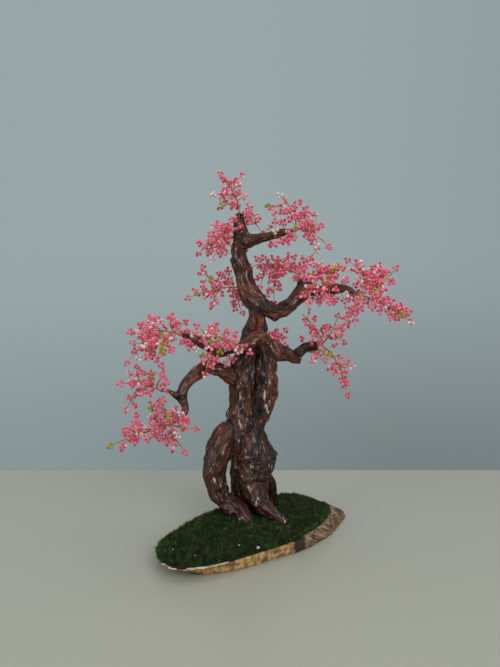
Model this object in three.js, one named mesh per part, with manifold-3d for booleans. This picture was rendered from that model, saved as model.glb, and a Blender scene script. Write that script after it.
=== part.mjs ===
import * as THREE from 'three';
import { mergeVertices } from 'three/addons/utils/BufferGeometryUtils.js';
import Module from 'manifold-3d';

// Cherry blossom bonsai of beads and wire, standing on an oblique slice of log.
// Millimetres, +Z up. The origin lies under the middle of the slice, and -Y is the front.
// A trunk modelled over a core of wire carries sprays of twisted wire, each wire ending in
// loops of three seed beads. The trunk's feet stand in a bed of plaster under a mat of moss.

const wasm = await Module();
wasm.setup();

// ---------------------------------------------------------------- driving dimensions

const clearance = 0.3;            // gap between pieces that touch
const socketClearance = 0.35;     // gap round wires in their sockets, and round the feet

const sliceLength = 152;          // long axis of the oval slice
const sliceWidth = 70;
const sliceThickness = 8;
const sliceTurn = 43.5;           // degrees from +X to the long axis
const sliceSlant = 16;            // how far the top face is shifted along the long axis
const sliceCentre = [1.3, -2];

// Swells of the oval outline as [share of its size, sharpness, angle round it].
const outlineSwells = [
  [-0.07, 12, -1.95], [-0.05, 8, 3.14], [0.09, 6, 1.25], [0.03, 10, -0.45],
  [0.05, 14, 0.12], [0.05, 20, -1.5], [-0.08, 6, 2.45], [0.04, 14, -2.6],
];
const outlineSides = 44;
const barkRounding = 0.8;         // how far the bark draws in at its two edges

const plasterThickness = 1.5;
const plasterInset = 2.6;         // from the edge of the wood
const plasterEdge = 0.5;          // where it shows
const plasterTaper = 0.4;         // its top is this much smaller all round
const mossThickness = 4.8;        // above the plaster
const mossInset = 0.2;
const mossSides = 36;
const mossRaggedness = 0.5;
const mossBareInset = 1.4;        // further in where the plaster shows,
const mossEndInset = 3.2;         // and at the right end, where it leaves a rim of bark
const mossEndFall = 0.55;         // how much thinner it is there, as a share
const mossMound = { x: 28, y: 46, width: 13, height: 2.2 };

const thickStem = 6;              // a stem this thick gets more sides
const ridgeDepth = 0.07;          // of the radius: three ridges, winding up the stem
const fineRidgeDepth = 0.04;      // five finer ones, winding the other way
const swellDepth = 0.05;          // lumps along it
const windRate = 0.02;            // radians for each millimetre of length
const swellRate = 0.23;

const coreRadius = 2.0;           // bundle of wires inside the trunk
const coreTop = 160;
const coreSides = 5;
const coreRings = 14;
const bundleRadius = 0.75;        // wires of one spray, where they leave the wood
const bundleDepth = 5;            // how deep they sit in their socket
const bundleReach = 4;            // how far they stay together outside it
const wireRadius = 0.45;          // one twisted pair
const twigRadius = 0.65;          // several pairs, at the foot of a twig
const buriedRadius = 0.32;        // where a wire starts inside another

const beadRadius = 1.15;
const beadRing = 1.64;            // loop centre to bead centre
const loopSpacing = 5;            // along a twig
const loopClear = 4.9;            // least distance between loop centres
const stalkLength = 3.2;
const firstLoop = 5;              // bare wire at the foot of a twig
const tipLoopReach = 5;           // the last loop's middle lies this far past its wire
const stalkFoot = 0.45;           // half the stretch of wire that a stalk grows from
const stalkVariety = [0.85, 0.6]; // shortest stalk and the most that is added to it, as shares
const wireStep = 9;               // longest straight piece of wire
const turnPerLoop = 2.4;          // radians round the twig, about the golden angle
const tipLean = 9;                // how far a stalk leans along its wire, at the tip
const sideLean = 0.75;            // and elsewhere

const elbowLeave = 0.22;          // a twig first runs on this share of its length,
const elbowShare = 0.28;          // this share of the way to its tip,
const elbowRise = 0.06;           // and this much above the straight line
const woodClear = 3.5;            // least distance from a loop's middle to the wood,
const otherLoopClear = 6.4;       // to a loop of another spray,
const wireClear = 2.6;            // to another wire of its spray,
const otherWireClear = 4;         // and to a wire of another spray
const woodStep = 2.5;             // distance between the points that stand for the wood
const wirePointStep = 1.5;
const forkClear = 1.5;            // a fork this near to a stalk needs no ring of its own

const beadHeight = 0.92;          // half a loop's thickness, as a share of the bead's radius
const beadHalfTurn = 0.4;         // half the stretch of a bead's outer edge, in radians
const valleyRadius = 1.35;        // from the loop's middle to where two beads meet
const dimple = 0.2;               // half the thickness of a loop's middle
const neckDepth = 0.87;           // height of an even triangle, as a share of 1

// Stems as [x, y, z, radius] along their centre lines.
const stems = {
  mainStem: [
    [-6, 17, 5, 10], [-6, 17, 15, 9.4], [-7, 14, 36, 9.3], [-8, 14, 54, 9.6], [-9, 15, 70, 9.3],
    [-9.5, 16, 84, 10.1], [-9, 16, 104, 9.3], [-7, 17, 117, 9], [-4, 18, 128, 8.5],
    [-0.5, 18, 141, 7.5], [1, 17, 152, 6], [1.5, 16, 160, 6.9], [-4, 15, 169, 6.5],
    [-9, 15, 181, 6.1], [-12, 14, 195, 4.9], [-10, 14, 207, 4.9], [-11, 14, 218, 3.5],
    [-11, 14, 224, 2.4],
  ],
  foldedStem: [
    [5, 18, 5, 6.8], [5, 18, 14, 6.6], [3.5, 18, 35, 6.2], [6, 18, 52, 8.3], [0.5, 16, 70, 5.9],
    [3.5, 13, 84, 6.8], [8, 12, 100, 7.8], [7.5, 12, 114, 6.4], [8, 12, 126, 6], [5, 10, 136, 5.4],
    [-1, 7, 137, 4.9], [-7, 5, 133, 4.1], [-16, 2, 130, 2.9], [-25, -2, 128, 2.5],
    [-33, -7, 133, 2.5], [-39, -10, 137, 3.3], [-44, -12, 140, 2.3], [-48, -14, 141, 1.9],
  ],
  frontRoot: [
    [-5, 16, 80, 5.5], [-3.5, 14.5, 70, 9], [-1.5, 13, 60, 11.6], [-0.5, 11.5, 52, 13.6],
    [-2, 9, 43, 11.2], [-2.5, 6.5, 36, 8.4], [-0.5, 3.5, 30, 7.2], [4, -1, 24.5, 5.8],
    [9, -4.5, 21, 4.4], [14, -7, 18, 3.4], [18, -9.5, 15.7, 2.8], [21, -11.5, 14.2, 2.3],
  ],
  leftLeg: [
    [-16, 14, 76, 5], [-22, 10, 69, 8], [-25.5, 7, 60, 8.6], [-27.5, 5, 49, 7.3], [-28, 4, 39, 6.8],
    [-25, 3, 30, 7.3], [-18, 1, 23, 6.4], [-10, -2, 18.5, 5.4], [-6, -5.5, 14.5, 4.6],
    [-4.5, -7, 12, 3.8],
  ],
  backRightRoot: [
    [5, 22, 45, 5], [7, 25, 38, 5], [10, 29, 27, 4.6], [13, 32, 16, 4], [15, 33, 6, 3.2],
  ],
  backLeftRoot: [
    [-9, 20.5, 44, 5.5], [-10.5, 23, 37, 5], [-12.5, 25, 25, 4.4], [-13.5, 26, 14, 3.6],
    [-14, 26.5, 6, 3],
  ],
  topBranch: [
    [-9, 14, 206, 5.6], [-5, 12.5, 205, 5.4], [-1, 11, 205.5, 4], [4, 9, 207, 3.2],
    [14, 5, 209, 2.9], [20, 2, 210, 2.5], [25, 0, 211, 1.9],
  ],
  rightBranch: [
    [2, 16, 160, 6.3], [8, 14, 158, 4.9], [15, 12, 156, 5], [24, 9, 160, 4.6],
    [29.5, 6, 166.5, 4.8], [35, 3, 171, 4.7], [46, -1, 170, 3], [53, -4, 171, 3.1],
    [61, -7, 171, 2.8], [67, -10, 168, 2.2],
  ],
  rightStub: [[33, 5, 170, 3.1], [31, 8, 175, 2.4], [31, 12, 179, 1.9]],
  lowBranch: [
    [9, 12, 132, 5], [15, 14, 127.5, 6.2], [23, 17, 124.5, 4.4], [29.5, 20, 122.5, 3.8],
    [32.5, 20, 122, 3.2],
  ],
  lowFork: [[29, 20, 124, 3.2], [33, 19, 128.5, 3.2], [38, 17, 131, 3.2], [44, 15, 132, 3]],
  archBranch: [
    [-12, 14, 106, 5.1], [-19, 11, 112, 5.4], [-25, 8, 116, 4.8], [-32, 4, 117, 4.4],
    [-39, 0, 114, 4.4], [-45, -4, 109, 4.1], [-48, -7, 104, 3.7], [-49, -9, 99, 3.3],
    [-47, -10, 94, 2.5], [-47, -11, 90, 2.3], [-50, -12, 86, 2.1], [-54, -13, 83, 1.9],
  ],
  archFork: [[-49, -9, 99, 2.6], [-53, -11, 101, 2], [-57, -14, 104, 1.6], [-62, -16, 105, 1.5]],
};
const stemsInTheGround = [
  'mainStem', 'foldedStem', 'frontRoot', 'leftLeg', 'backRightRoot', 'backLeftRoot',
];

// Sprays: where each leaves the wood, which way, and the tips of its twigs. A twig is
// [x, y, z] from the root, or [x, y, z, twig, share] from that share of an earlier twig.
const sprays = {
  crownLeader: {
    root: [-11, 14, 224], out: [0, 0, 1],
    twigs: [[-23, 6, 251], [-10, 20, 253, 0, 0.55], [-28, 0, 236, 0, 0.35], [-26, 24, 231, 0, 0.15],
      [-8, 10, 237, 0, 0.25]],
  },
  crownRight: {
    root: [-7.5, 17, 217], out: [0.6, 0.6, 0.5],
    twigs: [[1, 30, 226], [6, 24, 213, 0, 0.45], [-2, 40, 234, 0, 0.6]],
  },
  crownLeft: {
    root: [-15, 12, 201], out: [-0.85, -0.3, 0.4],
    twigs: [[-37, 2, 205], [-41, 20, 198, 0, 0.45], [-18, -2, 218, 0, 0.25], [-28, 22, 218, 0, 0.4],
      [-30, 6, 193, 0, 0.3], [-21, 38, 217, 0, 0.15]],
  },
  backLeft: {
    root: [-7.5, 21, 173], out: [-0.4, 0.9, 0.1],
    twigs: [[-48, 26, 167], [-39, 36, 188, 0, 0.5], [-33, 34, 160, 0, 0.45], [-17, 30, 162, 0, 0.2],
      [-23, 52, 186, 0, 0.25], [-11, 44, 155, 0, 0.08]],
  },
  upperRight: {
    root: [25, 0, 211], out: [0.9, -0.3, 0.2],
    twigs: [[49, -8, 201], [18, -6, 234], [9, 6, 230, 1, 0.45], [43, 10, 222, 0, 0.5],
      [33, 16, 232, 0, 0.2], [18, -16, 202], [32, -22, 211, 0, 0.3]],
  },
  backRight: {
    root: [31, 12, 179], out: [-0.2, 0.5, 0.8],
    twigs: [[-3, 40, 191], [2, 30, 174, 0, 0.6], [13, 34, 162, 0, 0.45], [24, 34, 196, 0, 0.2],
      [17, 58, 184, 0, 0.35], [42, 8, 199]],
  },
  rightInner: {
    root: [46, -1, 172.8], out: [0, 0, 1],
    twigs: [[31, -10, 184], [43, 10, 190, 0, 0.35], [57, -12, 187], [56, 22, 184, 2, 0.35],
      [33, -16, 163, 0, 0.3], [48, -20, 163, 2, 0.2]],
  },
  rightOuter: {
    root: [67, -10, 168], out: [0.9, -0.35, -0.3],
    twigs: [[94, -8, 184], [102, -14, 150], [99, 8, 156, 1, 0.6], [65, 2, 192, 0, 0.15],
      [84, 14, 188, 0, 0.45], [76, -28, 161, 1, 0.35], [54, -14, 142], [62, -20, 152, 6, 0.45],
      [81, 26, 180, 0, 0.25], [81, -26, 169, 1, 0.3]],
  },
  rightLow: {
    root: [44, 15, 132], out: [0.95, -0.2, 0.1],
    twigs: [[66, 10, 98], [31, 12, 158], [58, 6, 152], [65, 22, 136, 2, 0.35], [58, 18, 111, 0, 0.4],
      [67, 4, 117, 0, 0.55], [49, 32, 142, 1, 0.3], [41, 0, 122, 0, 0.1]],
  },
  backSmall: {
    root: [9.5, 18, 132], out: [0.5, 0.85, 0.1],
    twigs: [[23, 30, 142], [16, 44, 139, 0, 0.3], [21, 46, 130, 0, 0.4]],
  },
  leftOuter: {
    root: [-48, -14, 141], out: [-0.85, -0.3, 0.3],
    twigs: [[-82, -16, 144], [-83, -20, 125, 0, 0.35], [-72, 2, 152, 0, 0.4], [-55, -28, 153, 0, 0.1],
      [-48, -4, 151], [-61, -24, 121, 1, 0.35], [-70, -42, 137, 0, 0.45], [-72, 8, 128, 1, 0.2],
      [-52, -40, 133, 1, 0.15]],
  },
  leftInner: {
    root: [-28, -5.2, 131.6], out: [0, -0.6, 0.8],
    twigs: [[-38, -12, 148], [-27, 6, 148, 0, 0.35], [-15, -14, 143], [-3, -22, 132, 2, 0.35],
      [-33, -20, 116], [-32, -28, 137, 0, 0.25]],
  },
  leftMid: {
    root: [-62, -16, 105], out: [-0.9, -0.2, 0.3],
    twigs: [[-88, -20, 111], [-85, -18, 94, 0, 0.45], [-81, -6, 119, 0, 0.5], [-60, -26, 116],
      [-72, 4, 115, 0, 0.2], [-67, -36, 107, 0, 0.3]],
  },
  leftLow: {
    root: [-54, -13, 83], out: [-0.85, -0.25, -0.45],
    twigs: [[-95, -16, 69], [-75, -30, 78, 0, 0.4], [-82, -2, 85, 0, 0.5], [-61, -20, 99],
      [-40, -20, 80], [-48, -12, 63], [-69, 12, 94, 0, 0.15], [-80, -34, 84, 0, 0.55],
      [-46, -30, 91, 3, 0.3], [-69, 4, 70, 5, 0.3]],
  },
};

// ---------------------------------------------------------------- solids

// A closed geometry as a solid that can be joined and cut.
function solidOf(geometry) {
  geometry.deleteAttribute('normal');
  geometry.deleteAttribute('uv');
  const merged = mergeVertices(geometry, 1e-4);
  return new wasm.Manifold(new wasm.Mesh({
    numProp: 3,
    vertProperties: new Float32Array(merged.attributes.position.array),
    triVerts: new Uint32Array(merged.index.array),
  }));
}

function geometryOf(solid) {
  const mesh = solid.getMesh();
  const geometry = new THREE.BufferGeometry();
  geometry.setAttribute('position', new THREE.BufferAttribute(mesh.vertProperties, 3));
  geometry.setIndex(new THREE.BufferAttribute(mesh.triVerts, 1));
  return geometry;
}

// Moves every corner of a geometry to where the given rule puts it.
function bend(geometry, rule) {
  const position = geometry.attributes.position;
  const corner = new THREE.Vector3();
  for (let i = 0; i < position.count; i += 1) {
    corner.fromBufferAttribute(position, i);
    const moved = rule(corner);
    position.setXYZ(i, moved.x, moved.y, moved.z);
  }
  return geometry;
}

// A unit cylinder bent along a curve: its height runs along the curve and its wall goes to the
// radius that radiusAt(share, angle) gives.
function tubeSolid(curve, sides, rings, radiusAt) {
  const frames = curve.computeFrenetFrames(rings);
  return solidOf(bend(new THREE.CylinderGeometry(1, 1, 1, sides, rings), (corner) => {
    const share = Math.min(1, Math.max(0, corner.y + 0.5));
    const ring = Math.round(share * rings);
    const angle = Math.atan2(corner.z, corner.x);
    const radius = radiusAt(share, angle) * Math.hypot(corner.x, corner.z);
    return curve.getPointAt(share)
      .addScaledVector(frames.normals[ring], radius * Math.cos(angle))
      .addScaledVector(frames.binormals[ring], -radius * Math.sin(angle));
  }));
}

const vector = ([x, y, z]) => new THREE.Vector3(x, y, z);

// ---------------------------------------------------------------- trunk

function stemCurve(points) {
  return new THREE.CatmullRomCurve3(points.map(vector), false, 'catmullrom', 0.5);
}

// Radius at a share of the length, straight between the points that give it.
function stemRadius(points, curve, share) {
  const along = curve.getUtoTmapping(share) * (points.length - 1);
  const i = Math.min(points.length - 2, Math.floor(along));
  return THREE.MathUtils.lerp(points[i][3], points[i + 1][3], along - i);
}

// Thick stems have more sides. Their walls swell into ridges that wind slowly upward.
function stemSolid(points, phase, grow = 0) {
  const curve = stemCurve(points);
  const length = curve.getLength();
  const thick = points.some((point) => point[3] > thickStem);
  const [sides, ringSpacing] = thick ? [11, 7.5] : [7, 6.5];
  const rings = Math.max(3, Math.round(length / ringSpacing));
  return tubeSolid(curve, sides, rings, (share, angle) => {
    const wind = share * length * windRate + phase;
    const ridges = ridgeDepth * Math.cos(3 * angle + wind)
      + fineRidgeDepth * Math.cos(5 * angle - 2 * wind);
    const swell = swellDepth * Math.cos(swellRate * share * length + 2 * angle + 2 * phase);
    return stemRadius(points, curve, share) * (1 + ridges + swell) + grow;
  });
}

const stemNames = Object.keys(stems);
const stemUnion = wasm.Manifold.union(stemNames.map((name, i) => stemSolid(stems[name], i)));

// What lies below a height is cut off, as a block wider than the whole tree.
function trimmedAbove(solid, height) {
  const block = new THREE.BoxGeometry(2 * sliceLength, 2 * sliceLength, sliceWidth);
  return solid.subtract(solidOf(block.translate(0, 0, height - sliceWidth / 2)));
}

function coreSolid(grow = 0) {
  const points = stems.mainStem.filter((point) => point[2] <= coreTop);
  return tubeSolid(stemCurve(points), coreSides, coreRings, () => coreRadius + grow);
}

// The wires of one spray where they leave the wood.
function bundleSolid(spray, inside, outside, radius) {
  const out = vector(spray.out).normalize();
  const root = vector(spray.root);
  const curve = new THREE.LineCurve3(
    root.clone().addScaledVector(out, -inside),
    root.clone().addScaledVector(out, outside),
  );
  return tubeSolid(curve, 6, 1, () => radius);
}

const footLevel = sliceThickness + clearance;
const sockets = Object.values(sprays).map((spray) => bundleSolid(
  spray, bundleDepth + clearance, bundleReach, bundleRadius + socketClearance,
));
const trunk = trimmedAbove(stemUnion, footLevel)
  .subtract(trimmedAbove(coreSolid(socketClearance + 0.05), footLevel - 1))
  .subtract(wasm.Manifold.union(sockets));
const wireCore = trimmedAbove(coreSolid(), footLevel + 0.05);

// ---------------------------------------------------------------- slice, plaster and moss

const turn = THREE.MathUtils.degToRad(sliceTurn);

// A point of the slice's outline at an angle round it. The slant shifts the outline along the
// long axis with height, and low waves make it uneven.
function outlinePoint(angle, scale, inset, height) {
  const swells = outlineSwells.reduce((sum, [amount, sharpness, place]) => (
    sum + amount * Math.exp(sharpness * (Math.cos(angle - place) - 1))), 0);
  const uneven = 1 + swells + 0.012 * Math.cos(3 * angle + 0.6)
    + 0.008 * Math.cos(7 * angle + 2) + 0.004 * Math.cos(12 * angle + height);
  const along = (sliceLength / 2 * uneven - inset) * Math.cos(angle) * scale
    + sliceSlant * (0.5 - Math.min(1, height / sliceThickness));
  const across = (sliceWidth / 2 * uneven - inset) * Math.sin(angle) * scale;
  return new THREE.Vector3(
    sliceCentre[0] + along * Math.cos(turn) - across * Math.sin(turn),
    sliceCentre[1] + along * Math.sin(turn) + across * Math.cos(turn),
    height,
  );
}

// Oblique oval disc with a slightly rounded bark edge.
function sliceSolid() {
  const levels = 3;
  return solidOf(bend(new THREE.CylinderGeometry(1, 1, 1, outlineSides, levels), (corner) => {
    const share = corner.y + 0.5;
    const rim = Math.hypot(corner.x, corner.z);
    const edge = barkRounding * (2 * share - 1) ** 4;
    return outlinePoint(Math.atan2(-corner.z, corner.x), rim, edge, share * sliceThickness);
  }));
}

const plasterBase = sliceThickness + clearance;

// The plaster shows past the moss along the left of the front edge, and nowhere else.
const bareSide = (angle) => Math.exp(4 * (Math.cos(angle + 2.5) - 1));

// How near an angle is to the right end of the slice: 1 to 0.
const rightEnd = (angle) => Math.exp(8 * (Math.cos(angle - 0.3) - 1));

function plasterSolid(grow = 0) {
  return solidOf(bend(new THREE.CylinderGeometry(1, 1, 1, outlineSides, 1), (corner) => {
    const share = corner.y + 0.5;
    const angle = Math.atan2(-corner.z, corner.x);
    const hidden = 1 - bareSide(angle);
    const inset = plasterInset * hidden + plasterEdge + plasterTaper * share
      + mossEndInset * rightEnd(angle) - grow;
    const point = outlinePoint(angle, Math.hypot(corner.x, corner.z), inset, sliceThickness);
    point.z = plasterBase + share * plasterThickness + (2 * share - 1) * grow;
    return point;
  }));
}

// The mat's profile from its middle, over the edge, to its underside: [share of radius, share
// of thickness].
const mossProfile = [
  [0, 1], [0.3, 1], [0.57, 1], [0.8, 0.95], [0.94, 0.78], [1, 0.35], [0.985, 0], [0, 0],
];

function mossBumps(x, y) {
  const fromMound = Math.hypot(x - mossMound.x, y - mossMound.y) / mossMound.width;
  return 0.6 * Math.sin(0.31 * x + 0.7) * Math.sin(0.27 * y + 1.1)
    + 0.4 * Math.sin(0.53 * x - 0.41 * y + 2) + 0.3 * Math.cos(0.72 * y + 0.33 * x)
    + mossMound.height * Math.exp(-(fromMound ** 2));
}

// A mat of moss that wraps over the edge of the plaster down to the wood.
function mossSolid() {
  const rows = mossProfile.length - 1;
  const mat = solidOf(bend(new THREE.SphereGeometry(1, mossSides, rows), (corner) => {
    const row = Math.round(Math.acos(THREE.MathUtils.clamp(corner.y, -1, 1)) / Math.PI * rows);
    const [share, height] = mossProfile[row];
    const angle = Math.atan2(-corner.z, corner.x);
    const ragged = mossRaggedness * Math.cos(8 * angle + 1) * Math.cos(3 * angle);
    const inset = mossInset + ragged + mossBareInset * bareSide(angle) + mossEndInset * rightEnd(angle);
    const point = outlinePoint(angle, share, inset, sliceThickness);
    const thickness = plasterThickness + mossThickness + mossBumps(point.x, point.y);
    point.z = plasterBase + height * thickness * (1 - mossEndFall * rightEnd(angle) * share ** 4);
    return point;
  }));
  return mat.subtract(plasterSolid(clearance));
}

const feet = wasm.Manifold.union(stemsInTheGround.map(
  (name) => stemSolid(stems[name], stemNames.indexOf(name), socketClearance),
));

// ---------------------------------------------------------------- sprays

// Park-Miller draws between 0 and 1, the same on every run.
function drawsFrom(seed) {
  let state = seed;
  return () => {
    state = (state * 16807) % 2147483647;
    return state / 2147483647;
  };
}

// The twig's curve leaves along its parent and then turns towards its tip, arching upward.
function twigCurves(spray) {
  const out = vector(spray.out).normalize();
  const curves = [];
  for (const [x, y, z, parent, share] of spray.twigs) {
    const tip = new THREE.Vector3(x, y, z);
    const onTwig = parent !== undefined;
    const start = onTwig ? curves[parent].getPointAt(share)
      : vector(spray.root).addScaledVector(out, bundleReach / 2);
    const leave = onTwig ? curves[parent].getTangentAt(share) : out;
    const chord = tip.clone().sub(start);
    tip.addScaledVector(chord, -tipLoopReach / chord.length());
    chord.subVectors(tip, start);
    const length = chord.length();
    const elbow = start.clone()
      .addScaledVector(leave, elbowLeave * length)
      .addScaledVector(chord, elbowShare);
    elbow.z += elbowRise * length;
    curves.push(new THREE.QuadraticBezierCurve3(start, elbow, tip));
  }
  return curves;
}

// Directions across a twig: level to its side, and upright from it.
function frameAt(curve, share) {
  const along = curve.getTangentAt(share);
  const side = new THREE.Vector3(-along.y, along.x, 0).normalize();
  return { along, side, rise: along.clone().cross(side) };
}

// Loops along one twig, from its tip inward: one at the tip and then one every few millimetres,
// each on a stalk of its own that turns round the twig by the golden angle. Every third place
// and the sixth stay empty.
function twigLoops(curve, twig, seed) {
  const length = curve.getLength();
  const loops = [];
  for (let k = 0; k === 0 || length - k * loopSpacing > firstLoop; k += 1) {
    const draw = drawsFrom(seed * 97 + k + 1);
    draw();
    const distance = length - k * loopSpacing;
    const { along, side, rise } = frameAt(curve, distance / length);
    const azimuth = turnPerLoop * k + seed;
    const stalk = side.multiplyScalar(Math.cos(azimuth)).addScaledVector(rise, Math.sin(azimuth));
    stalk.addScaledVector(along, k === 0 ? tipLean : sideLean).normalize();
    const reach = stalkLength * (stalkVariety[0] + stalkVariety[1] * draw()) + beadRing;
    const facing = new THREE.Vector3(draw() - 0.5, 0.6, draw() - 0.5);
    facing.addScaledVector(stalk, -facing.dot(stalk)).normalize();
    const centre = curve.getPointAt(distance / length).addScaledVector(stalk, reach);
    const leftOut = k % 3 === 1 || k === 5;
    if (!leftOut) loops.push({ twig, along: distance, azimuth, centre, stalk, facing });
  }
  return loops;
}

// Points along every stem with their radii, to keep the loops off the wood.
const woodPoints = stemNames.flatMap((name) => {
  const curve = stemCurve(stems[name]);
  const steps = Math.ceil(curve.getLength() / woodStep);
  return Array.from({ length: steps + 1 }, (_, i) => ({
    point: curve.getPointAt(i / steps),
    radius: stemRadius(stems[name], curve, i / steps),
  }));
});

function wirePoints(curve) {
  const steps = Math.ceil(curve.getLength() / wirePointStep);
  return Array.from({ length: steps + 1 }, (_, i) => curve.getPoint(i / steps));
}

// Every spray's twigs and the loops that find room on them.
function grownSprays() {
  const grown = Object.entries(sprays).map(([name, spray], s) => {
    const curves = twigCurves(spray);
    return { name, spray, curves, wires: curves.map(wirePoints), loops: [], seed: 100 * (s + 1) };
  });
  const placed = [];
  grown.forEach((one, s) => one.curves.forEach((curve, t) => {
    for (const loop of twigLoops(curve, t, one.seed + t)) {
      const far = (point) => point.distanceTo(loop.centre);
      const nearWood = woodPoints.some(({ point, radius }) => far(point) < radius + woodClear);
      const nearLoop = placed.some((other) => (
        far(other.centre) < (other.s === s ? loopClear : otherLoopClear)));
      const nearWire = grown.some((other, o) => other.wires.some((points, w) => (
        (o !== s || w !== t)
        && points.some((point) => far(point) < (o === s ? wireClear : otherWireClear)))));
      if (nearWood || nearLoop || nearWire) continue;
      placed.push({ s, centre: loop.centre });
      one.loops.push(loop);
    }
  }));
  return grown;
}

// Joins two rings of corners with a band of triangles. Both run anticlockwise as seen from
// beyond the second one, which is turned to where its corners lie nearest the first one's.
function bridge(corners, faces, from, to) {
  const facing = (shift, i) => to[(shift + Math.round(i * to.length / from.length)) % to.length];
  const apart = to.map((_, shift) => from.reduce((sum, corner, i) => (
    sum + corners[corner].distanceTo(corners[facing(shift, i)])
  ), 0));
  const shift = apart.indexOf(Math.min(...apart));
  const a = (i) => from[i % from.length];
  const b = (j) => to[(shift + j) % to.length];
  for (let i = 0, j = 0; i < from.length || j < to.length;) {
    const stepFrom = (i + 1) * to.length <= (j + 1) * from.length;
    faces.push(stepFrom ? [a(i), a(i + 1), b(j)] : [a(i), b(j + 1), b(j)]);
    if (stepFrom) i += 1;
    else j += 1;
  }
}

// Three beads in a ring, drawn together where they touch and dimpled in the middle. The place
// where the stalk joins, between two of them, is left open, and its corners are returned.
function addLoop(corners, faces, { centre, stalk, facing }) {
  const base = corners.length;
  const across = facing.clone().cross(stalk);
  const place = (x, y, z) => corners.push(centre.clone()
    .addScaledVector(stalk, x).addScaledVector(across, y).addScaledVector(facing, z));
  const polar = (angle, radius, z = 0) => place(radius * Math.cos(angle), radius * Math.sin(angle), z);
  const third = 2 * Math.PI / 3;
  place(0, 0, dimple);
  place(0, 0, -dimple);
  for (let bead = 0; bead < 3; bead += 1) {
    const angle = third * bead;
    polar(angle, beadRing, beadRadius * beadHeight);
    polar(angle, beadRing, -beadRadius * beadHeight);
    polar(angle - beadHalfTurn, beadRing + beadRadius);
    polar(angle + beadHalfTurn, beadRing + beadRadius);
  }
  polar(third / 2, valleyRadius);
  polar(-third / 2, valleyRadius);
  place(-valleyRadius, 0, wireRadius);
  place(-valleyRadius, neckDepth * wireRadius, -wireRadius / 2);
  place(-valleyRadius, -neckDepth * wireRadius, -wireRadius / 2);

  const [over, under] = [base, base + 1];
  const valleys = [base + 14, base + 15];
  const neck = [base + 16, base + 17, base + 18];
  // What lies between a bead and the next, above and below it: a valley's corner, or the neck's.
  const between = [[valleys[0], valleys[0]], [neck[0], neck[1]], [valleys[1], valleys[1]]];
  const before = [between[2], between[0], [neck[0], neck[2]]];
  for (let bead = 0; bead < 3; bead += 1) {
    const [top, bottom, first, last] = [2, 3, 4, 5].map((i) => base + 4 * bead + i);
    const [above, below] = before[bead];
    const [nextAbove, nextBelow] = between[bead];
    faces.push([top, first, last], [bottom, last, first]);
    faces.push([top, last, nextAbove], [bottom, nextBelow, last]);
    faces.push([top, nextAbove, over], [bottom, under, nextBelow]);
    faces.push([top, over, above], [bottom, below, under]);
    faces.push([top, above, first], [bottom, first, below]);
  }
  faces.push([neck[0], base + 9, neck[1]], [neck[0], neck[2], base + 12], [under, neck[2], neck[1]]);
  return [neck[1], neck[0], neck[2]];
}

// A twig and its loops in one closed skin: a three-sided wire with, at the foot of each loop,
// a short stretch whose outer face is left open and drawn out into the stalk. The wire also
// has a ring wherever another twig starts from it.
function twigSolid(curve, loops, forks, footRadius) {
  const corners = [];
  const faces = [];
  const length = curve.getLength();

  function ringAt(along, azimuth, radius) {
    const share = Math.min(1, Math.max(0, along / length));
    const centre = curve.getPointAt(share);
    const { side, rise } = frameAt(curve, share);
    return [-1, 1, 3].map((sixths) => {
      const angle = azimuth + sixths * Math.PI / 3;
      corners.push(centre.clone()
        .addScaledVector(side, radius * Math.cos(angle))
        .addScaledVector(rise, radius * Math.sin(angle)));
      return corners.length - 1;
    });
  }

  const radiusAt = (along) => THREE.MathUtils.lerp(footRadius, wireRadius, along / length);
  const tipLoop = loops.find((loop) => loop.along >= length - 1);
  const sideLoops = loops.filter((loop) => loop !== tipLoop);
  const bareForks = forks
    .filter((along) => sideLoops.every((loop) => Math.abs(loop.along - along) > forkClear))
    .map((along) => ({ along }));
  const stops = [...sideLoops, ...bareForks].sort((a, b) => a.along - b.along);

  let ring = ringAt(0, 0, buriedRadius);
  faces.push([ring[0], ring[2], ring[1]]);
  let reached = 0;
  const wireTo = (along, azimuth) => {
    const spans = Math.max(1, Math.round((along - reached) / wireStep));
    for (let i = 1; i <= spans; i += 1) {
      const at = THREE.MathUtils.lerp(reached, along, i / spans);
      const next = ringAt(at, azimuth, radiusAt(at));
      bridge(corners, faces, ring, next);
      ring = next;
    }
    reached = along;
  };
  for (const loop of stops) {
    if (!loop.centre) {
      wireTo(loop.along, 0);
      continue;
    }
    wireTo(loop.along - stalkFoot, loop.azimuth);
    const next = ringAt(loop.along + stalkFoot, loop.azimuth, radiusAt(loop.along));
    for (const [a, b] of [[1, 2], [2, 0]]) {
      faces.push([ring[a], ring[b], next[a]], [ring[b], next[b], next[a]]);
    }
    const opening = [ring[0], ring[1], next[1], next[0]];
    bridge(corners, faces, opening, addLoop(corners, faces, loop));
    ring = next;
    reached = loop.along + stalkFoot;
  }
  wireTo(length, 0);
  if (tipLoop) bridge(corners, faces, ring, addLoop(corners, faces, tipLoop));
  else faces.push(ring);
  const geometry = new THREE.BufferGeometry().setFromPoints(corners);
  geometry.setIndex(faces.flat());
  return solidOf(geometry);
}

function spraySolid({ spray, curves, loops }) {
  const twigs = curves.map((curve, t) => {
    const own = loops.filter((loop) => loop.twig === t);
    const forks = spray.twigs.filter((twig) => twig[3] === t).map((twig) => twig[4] * curve.getLength());
    return twigSolid(curve, own, forks, spray.twigs[t].length > 3 ? wireRadius : twigRadius);
  });
  return wasm.Manifold.union([bundleSolid(spray, bundleDepth, bundleReach, bundleRadius), ...twigs]);
}

// ---------------------------------------------------------------- scene

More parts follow.
